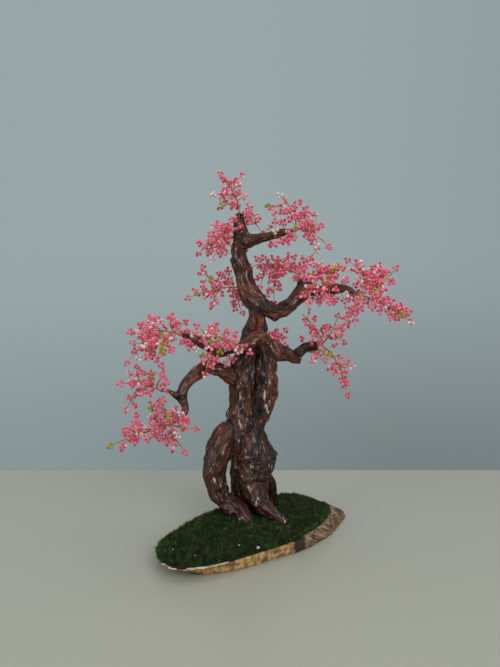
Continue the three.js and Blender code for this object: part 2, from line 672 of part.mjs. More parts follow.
const finishes = {
  wood: { color: 0xa87a48, roughness: 0.8, metalness: 0 },
  plaster: { color: 0xd9d5ca, roughness: 0.9, metalness: 0 },
  moss: { color: 0x1f3a18, roughness: 1, metalness: 0 },
  bark: { color: 0x4a2018, roughness: 0.35, metalness: 0 },
  copper: { color: 0xa35f35, roughness: 0.4, metalness: 0.9 },
  blossom: { color: 0xe2618c, roughness: 0.2, metalness: 0 },
};

const group = new THREE.Group();

function addPiece(name, solid, finish) {
  const mesh = new THREE.Mesh(geometryOf(solid), new THREE.MeshStandardMaterial(finishes[finish]));
  mesh.name = name;
  group.add(mesh);
}

addPiece('wood_slice', sliceSolid(), 'wood');
addPiece('plaster_bed', plasterSolid().subtract(feet), 'plaster');
addPiece('moss', mossSolid().subtract(feet), 'moss');
addPiece('wire_core', wireCore, 'copper');
addPiece('trunk', trunk, 'bark');
for (const grown of grownSprays()) {
  const name = grown.name.replace(/[A-Z]/g, (letter) => `_${letter.toLowerCase()}`);
  addPiece(`spray_${name}`, spraySolid(grown), 'blossom');
}

export default group;
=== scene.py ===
import math
import time

import bpy
import numpy as np
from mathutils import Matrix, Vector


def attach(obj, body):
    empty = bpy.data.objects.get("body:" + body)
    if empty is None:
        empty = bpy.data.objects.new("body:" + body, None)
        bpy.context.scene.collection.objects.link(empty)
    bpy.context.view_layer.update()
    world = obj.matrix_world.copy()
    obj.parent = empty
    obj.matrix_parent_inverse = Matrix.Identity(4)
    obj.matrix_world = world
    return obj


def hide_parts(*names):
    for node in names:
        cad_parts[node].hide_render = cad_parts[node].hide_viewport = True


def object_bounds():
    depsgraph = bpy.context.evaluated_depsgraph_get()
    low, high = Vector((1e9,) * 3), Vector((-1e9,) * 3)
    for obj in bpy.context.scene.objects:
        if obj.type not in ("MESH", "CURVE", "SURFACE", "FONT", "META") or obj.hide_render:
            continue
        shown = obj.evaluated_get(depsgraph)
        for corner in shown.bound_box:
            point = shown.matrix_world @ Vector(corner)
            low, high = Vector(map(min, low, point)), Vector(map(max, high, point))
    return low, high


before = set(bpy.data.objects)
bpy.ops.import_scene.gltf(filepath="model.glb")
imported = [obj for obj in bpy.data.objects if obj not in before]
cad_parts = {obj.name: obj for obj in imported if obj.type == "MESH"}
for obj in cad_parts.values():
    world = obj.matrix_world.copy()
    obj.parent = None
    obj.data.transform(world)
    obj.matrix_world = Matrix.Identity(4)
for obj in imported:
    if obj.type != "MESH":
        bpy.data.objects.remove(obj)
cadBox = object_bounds()
started = time.time()

mm = 0.001          # shapes are worked out in millimetres, and meshes are in metres


def report(stage):
    print(f"{time.time() - started:6.1f} s  {stage}")


# Small mathematics

def unit(vectors):
    return vectors / np.maximum(np.linalg.norm(vectors, axis=-1, keepdims=True), 1e-12)


def smooth(low, high, value):
    share = np.clip((value - low) / (high - low), 0, 1)
    return share * share * (3 - 2 * share)


# 1 between two limits, with soft ends, and 0 elsewhere.
def between(value, limits, soft):
    first, last = limits
    return smooth(first - soft, first + soft, value) * smooth(last + soft, last - soft, value)


# Angles of points spread evenly round a circle.
def roundTurn(count):
    return 2 * np.pi * np.arange(count) / count


# Park-Miller draws between 0 and 1: each state is 16807 times the last one, modulo 2^31 - 1. The
# first draw is left out, because it is small for a small seed.
def drawsFrom(seed):
    state = seed * 16807 % 2147483647
    while True:
        state = state * 16807 % 2147483647
        yield state / 2147483647


# Value noise between -1 and 1: a random value at each point of a whole-number lattice, blended
# between the eight nearest with a smooth step along each axis.
def latticeNoise(places, seed=0):
    cell = np.floor(places)
    share = places - cell
    share = share * share * (3 - 2 * share)
    cell = cell.astype(np.int64)
    total = np.zeros(len(places))
    for corner in range(8):
        offset = np.array([corner & 1, corner >> 1 & 1, corner >> 2 & 1])
        key = (cell + offset) @ np.array([73856093, 19349663, 83492791]) + seed * 668265263
        key = (key ^ (key >> 13)) * 1274126177 & 0xFFFFFFFF
        key = (key ^ (key >> 15)) * 2246822519 & 0xFFFFFFFF
        value = ((key ^ (key >> 13)) & 0xFFFFFF) / 0x7FFFFF - 1
        total += value * np.prod(np.where(offset == 1, share, 1 - share), axis=1)
    return total


# Sum of lattice noises, each at twice the frequency and half the strength of the last.
def layeredNoise(places, layers=3, seed=0):
    flat = places.reshape(-1, 3)
    total = sum(latticeNoise(flat * 2 ** k, seed + k) / 2 ** k for k in range(layers))
    return total.reshape(places.shape[:-1])


# Noise at angles round a circle, which is smoother for a smaller radius.
def circleNoise(angle, radius, layers, seed):
    circle = np.stack([radius * np.cos(angle), radius * np.sin(angle), 0 * angle], axis=-1)
    return layeredNoise(circle, layers, seed)


# Meshes

# A piece from points in millimetres and arrays of faces, each array with its own face size.
def makePiece(name, points, faceSets, materials, faceMaterials=None, values=None, shaded=True):
    sizes = np.concatenate([np.full(len(faces), faces.shape[1]) for faces in faceSets])
    corners = np.concatenate([faces.ravel() for faces in faceSets])
    mesh = bpy.data.meshes.new(name)
    mesh.vertices.add(len(points))
    mesh.vertices.foreach_set("co", (np.asarray(points) * mm).astype(np.float32).ravel())
    mesh.loops.add(len(corners))
    mesh.loops.foreach_set("vertex_index", corners.astype(np.int32))
    mesh.polygons.add(len(sizes))
    mesh.polygons.foreach_set("loop_start", (np.cumsum(sizes) - sizes).astype(np.int32))
    mesh.polygons.foreach_set("use_smooth", np.full(len(sizes), shaded))
    for material in materials:
        mesh.materials.append(material)
    if faceMaterials is not None:
        mesh.polygons.foreach_set("material_index", faceMaterials.astype(np.int32))
    setValues(mesh, values or {})
    mesh.update(calc_edges=True)
    piece = bpy.data.objects.new(name, mesh)
    bpy.context.scene.collection.objects.link(piece)
    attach(piece, "root")
    return piece


# Values or vectors at the points of a mesh, which its materials read by name.
def setValues(mesh, values):
    for key, value in values.items():
        vector = value.ndim == 2
        store = mesh.attributes.new(key, "FLOAT_VECTOR" if vector else "FLOAT", "POINT")
        store.data.foreach_set("vector" if vector else "value", value.astype(np.float32).ravel())


# Faces between the rows of a grid of corners, whose last column joins its first.
def gridFaces(rows, columns, closed=False):
    row = np.arange(rows if closed else rows - 1)[:, None]
    column = np.arange(columns)[None, :]
    rowAfter, columnAfter = (row + 1) % rows, (column + 1) % columns
    corners = [row * columns + column, row * columns + columnAfter,
               rowAfter * columns + columnAfter, rowAfter * columns + column]
    return np.stack(np.broadcast_arrays(*corners), axis=-1).reshape(-1, 4)


# Fans of triangles on the first and last row of such a grid, round two points that follow it.
def endFans(rows, columns):
    ring = np.arange(columns)
    after = (ring + 1) % columns
    last, middle = (rows - 1) * columns, np.full(columns, rows * columns)
    return np.concatenate([np.stack([ring, middle, after], axis=1),
                           np.stack([ring + last, after + last, middle + 1], axis=1)])


# A closed body from rows of points round an axis: the first and last rows close to a middle.
def closedRows(points):
    rows, columns = points.shape[:2]
    middles = np.stack([points[0].mean(axis=0), points[-1].mean(axis=0)])
    return (np.concatenate([points.reshape(-1, 3), middles]), gridFaces(rows, columns),
            endFans(rows, columns))


# The same faces for many copies of a shape that follow each other in the array of points.
def repeated(faces, corners, copies):
    return (faces[None] + corners * np.arange(copies)[:, None, None]).reshape(-1, faces.shape[1])


# Two directions square to a path and to each other, at each of its points.
def squareTo(path):
    tangent = unit(np.gradient(path, axis=-2))
    reference = np.eye(3)[np.argmin(np.abs(tangent.mean(axis=-2)), axis=-1)]
    side = unit(np.cross(tangent, reference[..., None, :]))
    return side, np.cross(tangent, side)


# Tubes along many paths of as many points: corners at radius * (cos a side + sin a rise) round
# each point, where side and rise are square to the path, and a fan of triangles on each end.
def tubesAlong(paths, radius, sides):
    count, rings = paths.shape[:2]
    side, rise = squareTo(paths)
    angle = roundTurn(sides)[:, None]
    wall = paths[:, :, None] + radius * (
        np.cos(angle) * side[:, :, None] + np.sin(angle) * rise[:, :, None])
    points = np.concatenate([wall.reshape(count, -1, 3), paths[:, :1], paths[:, -1:]], axis=1)
    quads = repeated(gridFaces(rings, sides), points.shape[1], count)
    return points.reshape(-1, 3), quads, repeated(endFans(rings, sides), points.shape[1], count)


# Collects shapes that become one piece: every shape's faces are shifted past the points so far.
class Gathered:
    def __init__(self):
        self.points, self.quads, self.triangles, self.tints, self.count = [], [], [], [], 0

    def add(self, points, quads, triangles=None, tint=None):
        self.points.append(points)
        self.quads.append(quads + self.count)
        if triangles is not None:
            self.triangles.append(triangles + self.count)
        if tint is not None:
            self.tints.append(tint)
        self.count += len(points)

    def piece(self, name, materials, faceMaterials=None):
        faceSets = [np.concatenate(part) for part in (self.quads, self.triangles) if part]
        values = {"tint": np.concatenate(self.tints)} if self.tints else {}
        return makePiece(name, np.concatenate(self.points), faceSets, materials, faceMaterials, values)


# Node trees

# A node tree with short ways to add to it. A value is a number, a colour or a node's output.
class Nodes:
    def __init__(self, tree):
        self.tree = tree

    def fill(self, socket, value):
        if isinstance(value, bpy.types.NodeSocket):
            self.tree.links.new(value, socket)
        else:
            socket.default_value = (*value, 1) if socket.type == "RGBA" else value

    def add(self, kind, inputs=None, **settings):
        node = self.tree.nodes.new("ShaderNode" + kind)
        for key, value in settings.items():
            setattr(node, key, value)
        for key, value in (inputs or {}).items():
            self.fill(node.inputs[key], value)
        return node

    def mix(self, mask, first, second):
        return self.add("Mix", {0: mask, 6: first, 7: second}, data_type="RGBA").outputs[2]

    def math(self, operation, first, second, clamp=False):
        return self.add("Math", {0: first, 1: second}, operation=operation, use_clamp=clamp).outputs[0]

    def times(self, first, second):
        return self.math("MULTIPLY", first, second)

    def mapped(self, value, low, high, toLow=0.0, toHigh=1.0, kind="SMOOTHSTEP"):
        inputs = {"Value": value, "From Min": low, "From Max": high, "To Min": toLow, "To Max": toHigh}
        return self.add("MapRange", inputs, interpolation_type=kind).outputs[0]

    def parts(self, vector):
        return self.add("SeparateXYZ", {0: vector}).outputs


# A node group that takes a vector and named numbers, and gives named values.
def newGroup(name, numbers, results):
    group = bpy.data.node_groups.new(name, "ShaderNodeTree")
    group.interface.new_socket("Vector", in_out="INPUT", socket_type="NodeSocketVector")
    for label, value in numbers.items():
        socket = group.interface.new_socket(label, in_out="INPUT", socket_type="NodeSocketFloat")
        socket.default_value = value
    for label in results:
        group.interface.new_socket(label, in_out="OUTPUT", socket_type="NodeSocketFloat")
    return Nodes(group), group.nodes.new("NodeGroupInput").outputs, group.nodes.new("NodeGroupOutput").inputs


# Patches: layered noise pushed towards black and white. Mask is the patches, Height the noise.
def makePatches():
    nodes, given, result = newGroup(
        "patches", {"Scale": 100, "Detail": 4, "Middle": 0.5, "Softness": 0.1}, ["Mask", "Height"])
    noise = nodes.add("TexNoise", {key: given[key] for key in ("Vector", "Scale", "Detail")}).outputs[0]
    low, high = (nodes.math(sign, given["Middle"], given["Softness"]) for sign in ("SUBTRACT", "ADD"))
    nodes.fill(result["Mask"], nodes.mapped(noise, low, high))
    nodes.fill(result["Height"], noise)
    return nodes.tree


# Specks: round spots of random cells, as many as Amount says. Mask is 1 inside a spot.
def makeSpecks():
    nodes, given, result = newGroup("specks", {"Scale": 500, "Size": 0.25, "Amount": 0.2}, ["Mask"])
    cells = nodes.add("TexVoronoi", {key: given[key] for key in ("Vector", "Scale")}).outputs
    spot = nodes.mapped(cells["Distance"], nodes.times(given["Size"], 1.5), given["Size"])
    red = nodes.add("SeparateColor", {"Color": cells["Color"]}).outputs[0]
    chosen = nodes.math("LESS_THAN", red, given["Amount"])
    nodes.fill(result["Mask"], nodes.times(spot, chosen))
    return nodes.tree


patchesGroup = makePatches()
specksGroup = makeSpecks()


# A material that is built up from a colour. Plain values go on its shader's sockets by name.
class Look(Nodes):
    def __init__(self, name, **plain):
        self.material = bpy.data.materials.new(name)
        self.material.use_nodes = True
        super().__init__(self.material.node_tree)
        self.shader = self.tree.nodes["Principled BSDF"].inputs
        for key, value in plain.items():
            self.shader[key.replace("_", " ")].default_value = value
        self.place = self.add("TexCoord").outputs["Object"]

    def read(self, name, output="Fac"):
        return self.add("Attribute", attribute_name=name).outputs[output]

    def grouped(self, group, place=None, output="Mask", **values):
        inputs = {"Vector": self.place if place is None else place, **values}
        return self.add("Group", inputs, node_tree=group).outputs[output]

    def patches(self, scale, detail, middle, softness, place=None):
        return self.grouped(patchesGroup, place, Scale=scale, Detail=detail, Middle=middle, Softness=softness)

    # Lays patches over a colour, each (scale, detail, middle, softness, strength, colour).
    def patched(self, colour, layers, place=None):
        for *shape, strength, other in layers:
            colour = self.mix(self.times(self.patches(*shape, place=place), strength), colour, other)
        return colour

    # Links the colour, and fine noise as roughness between two values and as relief of a depth.
    def finish(self, colour, scale, detail, depth, rough=None, place=None):
        self.fill(self.shader["Base Color"], colour)
        fine = self.grouped(patchesGroup, place, "Height", Scale=scale, Detail=detail)
        if rough:
            self.fill(self.shader["Roughness"], self.mapped(fine, 0.3, 0.7, *rough))
        bump = self.add("Bump", {"Height": fine, "Distance": depth * mm, "Strength": 1}).outputs[0]
        self.fill(self.shader["Normal"], bump)
        self.fill(self.shader["Coat Normal"], bump)
        return self.material


# Curves

# Catmull-Rom curve through the points for t from 0 to 1: between two points a cubic whose slope
# at each is half the way between its neighbours, with the ends carried on straight.
def splineThrough(points):
    points = np.asarray(points, float)
    around = np.vstack([2 * points[0] - points[1], points, 2 * points[-1] - points[-2]])

    def shape(t):
        place = np.clip(t, 0, 1) * (len(points) - 1)
        i = np.minimum(place.astype(int), len(points) - 2)
        w = (place - i)[:, None]
        before, start, end, beyond = (around[i + k] for k in range(4))
        slopeStart, slopeEnd = (end - before) / 2, (beyond - start) / 2
        cubic = 2 * start - 2 * end + slopeStart + slopeEnd
        square = 3 * (end - start) - 2 * slopeStart - slopeEnd
        return ((cubic * w + square) * w + slopeStart) * w + start

    return shape


# Bezier curve: (1-t)^2 start + 2t(1-t) elbow + t^2 tip.
def bezierThrough(start, elbow, tip):
    def shape(t):
        t = np.asarray(t)[:, None]
        return (1 - t) ** 2 * start + 2 * t * (1 - t) * elbow + t * t * tip

    return shape


# A curve with its length measured in 200 straight steps.
def measured(shape):
    t = np.linspace(0, 1, 201)
    steps = np.linalg.norm(np.diff(shape(t), axis=0), axis=1)
    reach = np.concatenate([[0], np.cumsum(steps)])
    return {"shape": shape, "t": t, "reach": reach, "length": reach[-1]}


# Points and unit tangents at distances along a measured curve, with the t values there.
def along(curve, distances):
    t = np.interp(np.atleast_1d(distances), curve["reach"], curve["t"])
    ahead, behind = np.minimum(t + 1e-4, 1), np.maximum(t - 1e-4, 0)
    return curve["shape"](t), unit(curve["shape"](ahead) - curve["shape"](behind)), t


# A stem's curve, and its radius at values of t.
def stemCurve(points):
    return measured(splineThrough([point[:3] for point in points]))


def stemRadius(points, t):
    return np.interp(t * (len(points) - 1), np.arange(len(points)), [point[3] for point in points])


# The trunk

trunkSettings = {
    "footLevel": 8.3, "sides": 24,
    "ridges": (0.07, 0.04, 0.05),    # three wide, five fine, and lumps, as shares of the radius
    "noiseApart": 37, "leastWeight": 0.02,    # keep the noise of each stem apart from the others'
    "windRate": 0.02, "swellRate": 0.23,
    "voxel": 0.64, "softness": 1.2,  # how far two stems run into each other where they meet
    "mostMove": 1.5,                 # onto the wall, in each of three turns
    "tipThinning": 0.3, "thinnedLength": 12,
    "lumps": (7, 9, 1.3),            # width round the stem, length along it, height
    "knots": (3.3, 4.6, 0.95),
    "bark": (1.9, 8, 0.45),
    "grain": (1.0, 2.8, 0.22),
    "seam": (0.9, 0.8),              # half width and depth where two stems meet
    "fullRelief": 5.2,               # radius from which the relief has its full height
    "leastRelief": 0.12,
    # buds and hollows seen from the front: [x, z, width, rise]
    "buds": [[-20.5, 91, 6, -3], [15.5, 93, 4.5, -1.6], [14.2, 54, 2.4, 1.3], [14, 151.5, 2.3, 1.5],
             [-17.8, 192, 1.6, 1.5], [-17, 202, 2.6, 1.1], [-3, 184.5, 2.5, 1.4], [-13.5, 168, 3, 0.9],
             [22, 153.5, 2.5, 0.9], [-27, 121, 2.5, 0.9], [20.5, 15, 3, 0.9]],
    "redBrown": (0.098, 0.030, 0.018), "darkBrown": (0.023, 0.010, 0.007), "darkFoot": (20, 95),
    # the near-black crease colour is painted shade for the creases, seams and furrows
    # the rust colour also paints a highlight on the fold
    "rustAndHighlight": (0.19, 0.048, 0.020), "creaseShade": (0.004, 0.003, 0.003),
    # pale is worn paint that also stands for painted glints; the sheen colour is a painted grey-blue
    # reflection
    "pale": (0.62, 0.50, 0.44), "sheen": (0.085, 0.085, 0.10),
}

# Stems as [x, y, z, radius] along their centre lines.
stems = {
    "mainStem": [
        [-6, 17, 5, 10], [-6, 17, 15, 9.4], [-7, 14, 36, 9.3], [-8, 14, 54, 9.6], [-9, 15, 70, 9.3],
        [-9.5, 16, 84, 10.1], [-9, 16, 104, 9.3], [-7, 17, 117, 9], [-4, 18, 128, 8.5],
        [-0.5, 18, 141, 7.5], [1, 17, 152, 6], [1.5, 16, 160, 6.9], [-4, 15, 169, 6.5],
        [-9, 15, 181, 6.1], [-12, 14, 195, 4.9], [-10, 14, 207, 4.9], [-11, 14, 218, 3.5],
        [-11, 14, 224, 2.4],
    ],
    "foldedStem": [
        [5, 18, 5, 6.8], [5, 18, 14, 6.6], [3.5, 18, 35, 6.2], [6, 18, 52, 8.3], [0.5, 16, 70, 5.9],
        [3.5, 13, 84, 6.8], [8, 12, 100, 7.8], [7.5, 12, 114, 6.4], [8, 12, 126, 6], [5, 10, 136, 5.4],
        [-1, 7, 137, 4.9], [-7, 5, 133, 4.1], [-16, 2, 130, 2.9], [-25, -2, 128, 2.5],
        [-33, -7, 133, 2.5], [-39, -10, 137, 3.3], [-44, -12, 140, 2.3], [-48, -14, 141, 1.9],
    ],
    "frontRoot": [
        [-5, 16, 80, 5.5], [-3.5, 14.5, 70, 9], [-1.5, 13, 60, 11.6], [-0.5, 11.5, 52, 13.6],
        [-2, 9, 43, 11.2], [-2.5, 6.5, 36, 8.4], [-0.5, 3.5, 30, 7.2], [4, -1, 24.5, 5.8],
        [9, -4.5, 21, 4.4], [14, -7, 18, 3.4], [18, -9.5, 15.7, 2.8], [21, -11.5, 14.2, 2.3],
    ],
    "leftLeg": [
        [-16, 14, 76, 5], [-22, 10, 69, 8], [-25.5, 7, 60, 8.6], [-27.5, 5, 49, 7.3], [-28, 4, 39, 6.8],
        [-25, 3, 30, 7.3], [-18, 1, 23, 6.4], [-10, -2, 18.5, 5.4], [-6, -5.5, 14.5, 4.6],
        [-4.5, -7, 12, 3.8],
    ],
    "backRightRoot": [
        [5, 22, 45, 5], [7, 25, 38, 5], [10, 29, 27, 4.6], [13, 32, 16, 4], [15, 33, 6, 3.2],
    ],
    "backLeftRoot": [
        [-9, 20.5, 44, 5.5], [-10.5, 23, 37, 5], [-12.5, 25, 25, 4.4], [-13.5, 26, 14, 3.6],
        [-14, 26.5, 6, 3],
    ],
    "topBranch": [
        [-9, 14, 206, 5.6], [-5, 12.5, 205, 5.4], [-1, 11, 205.5, 4], [4, 9, 207, 3.2], [14, 5, 209, 2.9],
        [20, 2, 210, 2.5], [25, 0, 211, 1.9],
    ],
    "rightBranch": [
        [2, 16, 160, 6.3], [8, 14, 158, 4.9], [15, 12, 156, 5], [24, 9, 160, 4.6], [29.5, 6, 166.5, 4.8],
        [35, 3, 171, 4.7], [46, -1, 170, 3], [53, -4, 171, 3.1], [61, -7, 171, 2.8], [67, -10, 168, 2.2],
    ],
    "rightStub": [[33, 5, 170, 3.1], [31, 8, 175, 2.4], [31, 12, 179, 1.9]],
    "lowBranch": [
        [9, 12, 132, 5], [15, 14, 127.5, 6.2], [23, 17, 124.5, 4.4], [29.5, 20, 122.5, 3.8],
        [32.5, 20, 122, 3.2],
    ],
    "lowFork": [[29, 20, 124, 3.2], [33, 19, 128.5, 3.2], [38, 17, 131, 3.2], [44, 15, 132, 3]],
    "archBranch": [
        [-12, 14, 106, 5.1], [-19, 11, 112, 5.4], [-25, 8, 116, 4.8], [-32, 4, 117, 4.4],
        [-39, 0, 114, 4.4], [-45, -4, 109, 4.1], [-48, -7, 104, 3.7], [-49, -9, 99, 3.3],
        [-47, -10, 94, 2.5], [-47, -11, 90, 2.3], [-50, -12, 86, 2.1], [-54, -13, 83, 1.9],
    ],
    "archFork": [[-49, -9, 99, 2.6], [-53, -11, 101, 2], [-57, -14, 104, 1.6], [-62, -16, 105, 1.5]],
}
thinnedStems = ["topBranch", "rightBranch", "rightStub", "archBranch", "archFork", "foldedStem"]

# Marks on the front of the trunk, as lines seen from the front: [x, z, x, z, half width].
# Pale streaks: worn pale paint, and painted glints where the ridges catch the light.
paleStreaks = [
    [-10, 103, -11, 88, 0.4], [-11, 90, -11, 74, 0.55], [-10, 78, -8, 71, 0.7], [-6, 84, -8, 72, 0.4],
    [6, 105, 7, 92, 0.6], [-2, 51, -2, 50, 1.0], [10, 49, 11, 47, 1.0], [-6, 38, -3, 35, 0.8],
    [-11, 192, -10, 188, 0.4], [-6, 184, -6, 180, 0.4], [-6, 134, 1, 137, 0.4], [-29, 42, -24, 37, 0.7],
    [-4, 91, -3, 85, 0.6], [5, 65, 6, 59, 0.7], [2, 30, 1, 26, 0.6], [19, 18, 21, 15, 0.6],
    [7, 91, 9, 86, 0.9], [10, 94, 8, 90, 0.6],
]
# Rust-red patches; the last one is a painted highlight on the fold.
rustAndHighlightMarks = [[10, 105, 13, 92, 3.0], [-10, 58, -6, 44, 3.0], [-19, 23, -17, 19, 2.5],
             [-6, 135.5, 5, 140, 2.8]]
# Painted shadow: recesses of the trunk made darker, most of all the cavity under the fold.
shadowMarks = [[2.5, 128, 4.5, 108, 3.2], [4.5, 108, 1.5, 84, 3], [-1, 66, 2, 58, 1.5]]
# Painted sheen: grey-blue reflections of cool light on the glossy varnish.
sheenMarks = [[-17, 27, -15, 22, 1.8], [-15, 78, -13, 68, 2.0], [-5, 56, -4, 41, 1.6],
             [-30, 60, -33, 45, 1.4]]


# A stem's centre line in steps of a millimetre, with a frame that turns with the curve and no
# more: each step rotates the last frame by the angle between the two tangents.
def stemLine(points):
    curve = stemCurve(points)
    count = int(curve["length"]) + 2
    distance = np.linspace(0, curve["length"], count)
    centre, tangent, t = along(curve, distance)
    normal = np.zeros((count, 3))
    axis = np.eye(3)[np.argmin(np.abs(tangent[0]))]
    normal[0] = np.cross(tangent[0], unit(np.cross(tangent[0], axis)))
    for i in range(1, count):
        turn = np.cross(tangent[i - 1], tangent[i])
        size = np.linalg.norm(turn)
        normal[i] = normal[i - 1]
        if size > 1e-9:
            turn = turn / size
            angle = math.acos(min(1, tangent[i - 1] @ tangent[i]))
            before = normal[i - 1]
            normal[i] = (before * math.cos(angle) + np.cross(turn, before) * math.sin(angle)
                         + turn * (turn @ before) * (1 - math.cos(angle)))
    return {"centre": centre, "tangent": tangent, "normal": normal, "distance": distance,
            "binormal": np.cross(tangent, normal), "radius": stemRadius(points, t)}


def stemLines():
    lines = {}
    for phase, (name, points) in enumerate(stems.items()):
        line = lines[name] = stemLine(points)
        line["phase"] = phase
        if name in thinnedStems:
            left = line["distance"][-1] - line["distance"]
            near = 1 - smooth(0, trunkSettings["thinnedLength"], left)
            line["radius"] = line["radius"] * (1 - trunkSettings["tipThinning"] * near)
    return lines


# Wall of a stem: radius * (1 + 0.07 cos(3a + w) + 0.04 cos(5a - 2w) + 0.05 cos(0.23 s + 2a + 2p)),
# for the angle a, the distance s along the stem, its phase p and w = 0.02 s + p.
def wallRadius(line, radius, distance, angle):
    wide, fine, swell = trunkSettings["ridges"]
    phase = line["phase"]
    wind = trunkSettings["windRate"] * distance + phase
    lumps = swell * np.cos(trunkSettings["swellRate"] * distance + 2 * angle + 2 * phase)
    return radius * (1 + wide * np.cos(3 * angle + wind) + fine * np.cos(5 * angle - 2 * wind) + lumps)


# Closed tubes along all the stems, which the remesh then runs into one skin.
def roughTrunk(lines):
    gathered = Gathered()
    angle = roundTurn(trunkSettings["sides"])
    for line in lines:
        keep = line["centre"][:, 2] >= trunkSettings["footLevel"] - 1
        centre, normal, binormal = (line[key][keep] for key in ("centre", "normal", "binormal"))
        radius = wallRadius(line, line["radius"][keep][:, None], line["distance"][keep][:, None], angle)
        wall = centre[:, None] + radius[..., None] * (
            np.cos(angle)[:, None] * normal[:, None] - np.sin(angle)[:, None] * binormal[:, None])
        points = np.concatenate([wall[:, ::-1].reshape(-1, 3), centre[:1], centre[-1:]])
        grid = len(centre), len(angle)
        gathered.add(points, gridFaces(*grid), endFans(*grid))
    return gathered.piece("trunk_body", [])


flowDrift = np.array([0.31, 0.83, 0.46])    # way of the noise's places along every stem


# Where a point lies on each stem: signed distance to its wall, direction away from its centre
# line, radius, distance along it, and its offset from the centre line, shifted apart for each stem.
def nearStem(line, points):
    squares = (points ** 2).sum(1)[:, None] - 2 * points @ line["centre"].T + (line["centre"] ** 2).sum(1)
    nearest = np.argmin(squares, axis=1)
    centre, tangent, normal, binormal, radius, distance = (
        line[key][nearest] for key in ("centre", "tangent", "normal", "binormal", "radius", "distance"))
    step = line["distance"][1]
    slip = np.clip(((points - centre) * tangent).sum(1), -step / 2, step / 2)
    offset = points - centre - tangent * slip[:, None]
    distance = distance + slip
    angle = np.arctan2(-(offset * binormal).sum(1), (offset * normal).sum(1))
    size = np.linalg.norm(offset, axis=1)
    return {"gap": size - wallRadius(line, radius, distance, angle), "radius": radius,
            "outward": offset / np.maximum(size, 1e-6)[:, None], "distance": distance,
            "offset": offset + trunkSettings["noiseApart"] * line["phase"] * flowDrift}


# The stems joined softly: minus softness * log of the sum of exp(-gap / softness).
def softGap(near):
    gaps = np.stack([item["gap"] for item in near])
    softness = trunkSettings["softness"]
    low = gaps.min(axis=0)
    weights = np.exp(-(gaps - low) / softness)
    total = weights.sum(axis=0)
    outward = sum(weight[:, None] * item["outward"] for weight, item in zip(weights, near))
    return low - softness * np.log(total), unit(outward), gaps, weights / total


# A place for noise that follows a stem: it moves slowly along it, and quickly round it.
def flowPlace(item, rate):
    return item["offset"] + (item["distance"] * rate)[:, None] * flowDrift


# Noise that follows the stems, in steps of one width round them and one length along them.
def flowNoise(near, weights, width, length, seed, layers=1):
    total = np.zeros(len(weights[0]))
    for item, weight in zip(near, weights):
        chosen = weight > trunkSettings["leastWeight"]
        places = flowPlace(item, width / length)[chosen] / width
        total[chosen] += layeredNoise(places, layers, seed) * weight[chosen]
    return total


# How near each point on the front is to any of the marks: 1 on their lines and 0 outside.
def markMask(points, outward, marks, blur):
    mask = np.zeros(len(points))
    seen = smooth(0.2, -0.25, outward[:, 1])
    place = points[:, [0, 2]]
    for x0, z0, x1, z1, width in marks:
        start, way = np.array([x0, z0]), np.array([x1 - x0, z1 - z0])
        share = np.clip((place - start) @ way / (way @ way), 0, 1)
        gap = np.linalg.norm(place - start - share[:, None] * way, axis=1) + blur
        mask = np.maximum(mask, smooth(width * 1.5, width * 0.6, gap) * seen)
    return mask


# One skin over the rough trunk, as a mesh and its points in millimetres.
def joinedSkin(piece):
    remesh = piece.modifiers.new("oneSkin", "REMESH")
    remesh.mode = "VOXEL"
    remesh.voxel_size = trunkSettings["voxel"] * mm
    bpy.context.view_layer.update()
    skin = bpy.data.meshes.new_from_object(piece.evaluated_get(bpy.context.evaluated_depsgraph_get()))
    piece.modifiers.clear()
    points = np.zeros(len(skin.vertices) * 3, np.float32)
    skin.vertices.foreach_get("co", points)
    return skin, points.reshape(-1, 3).astype(float) / mm


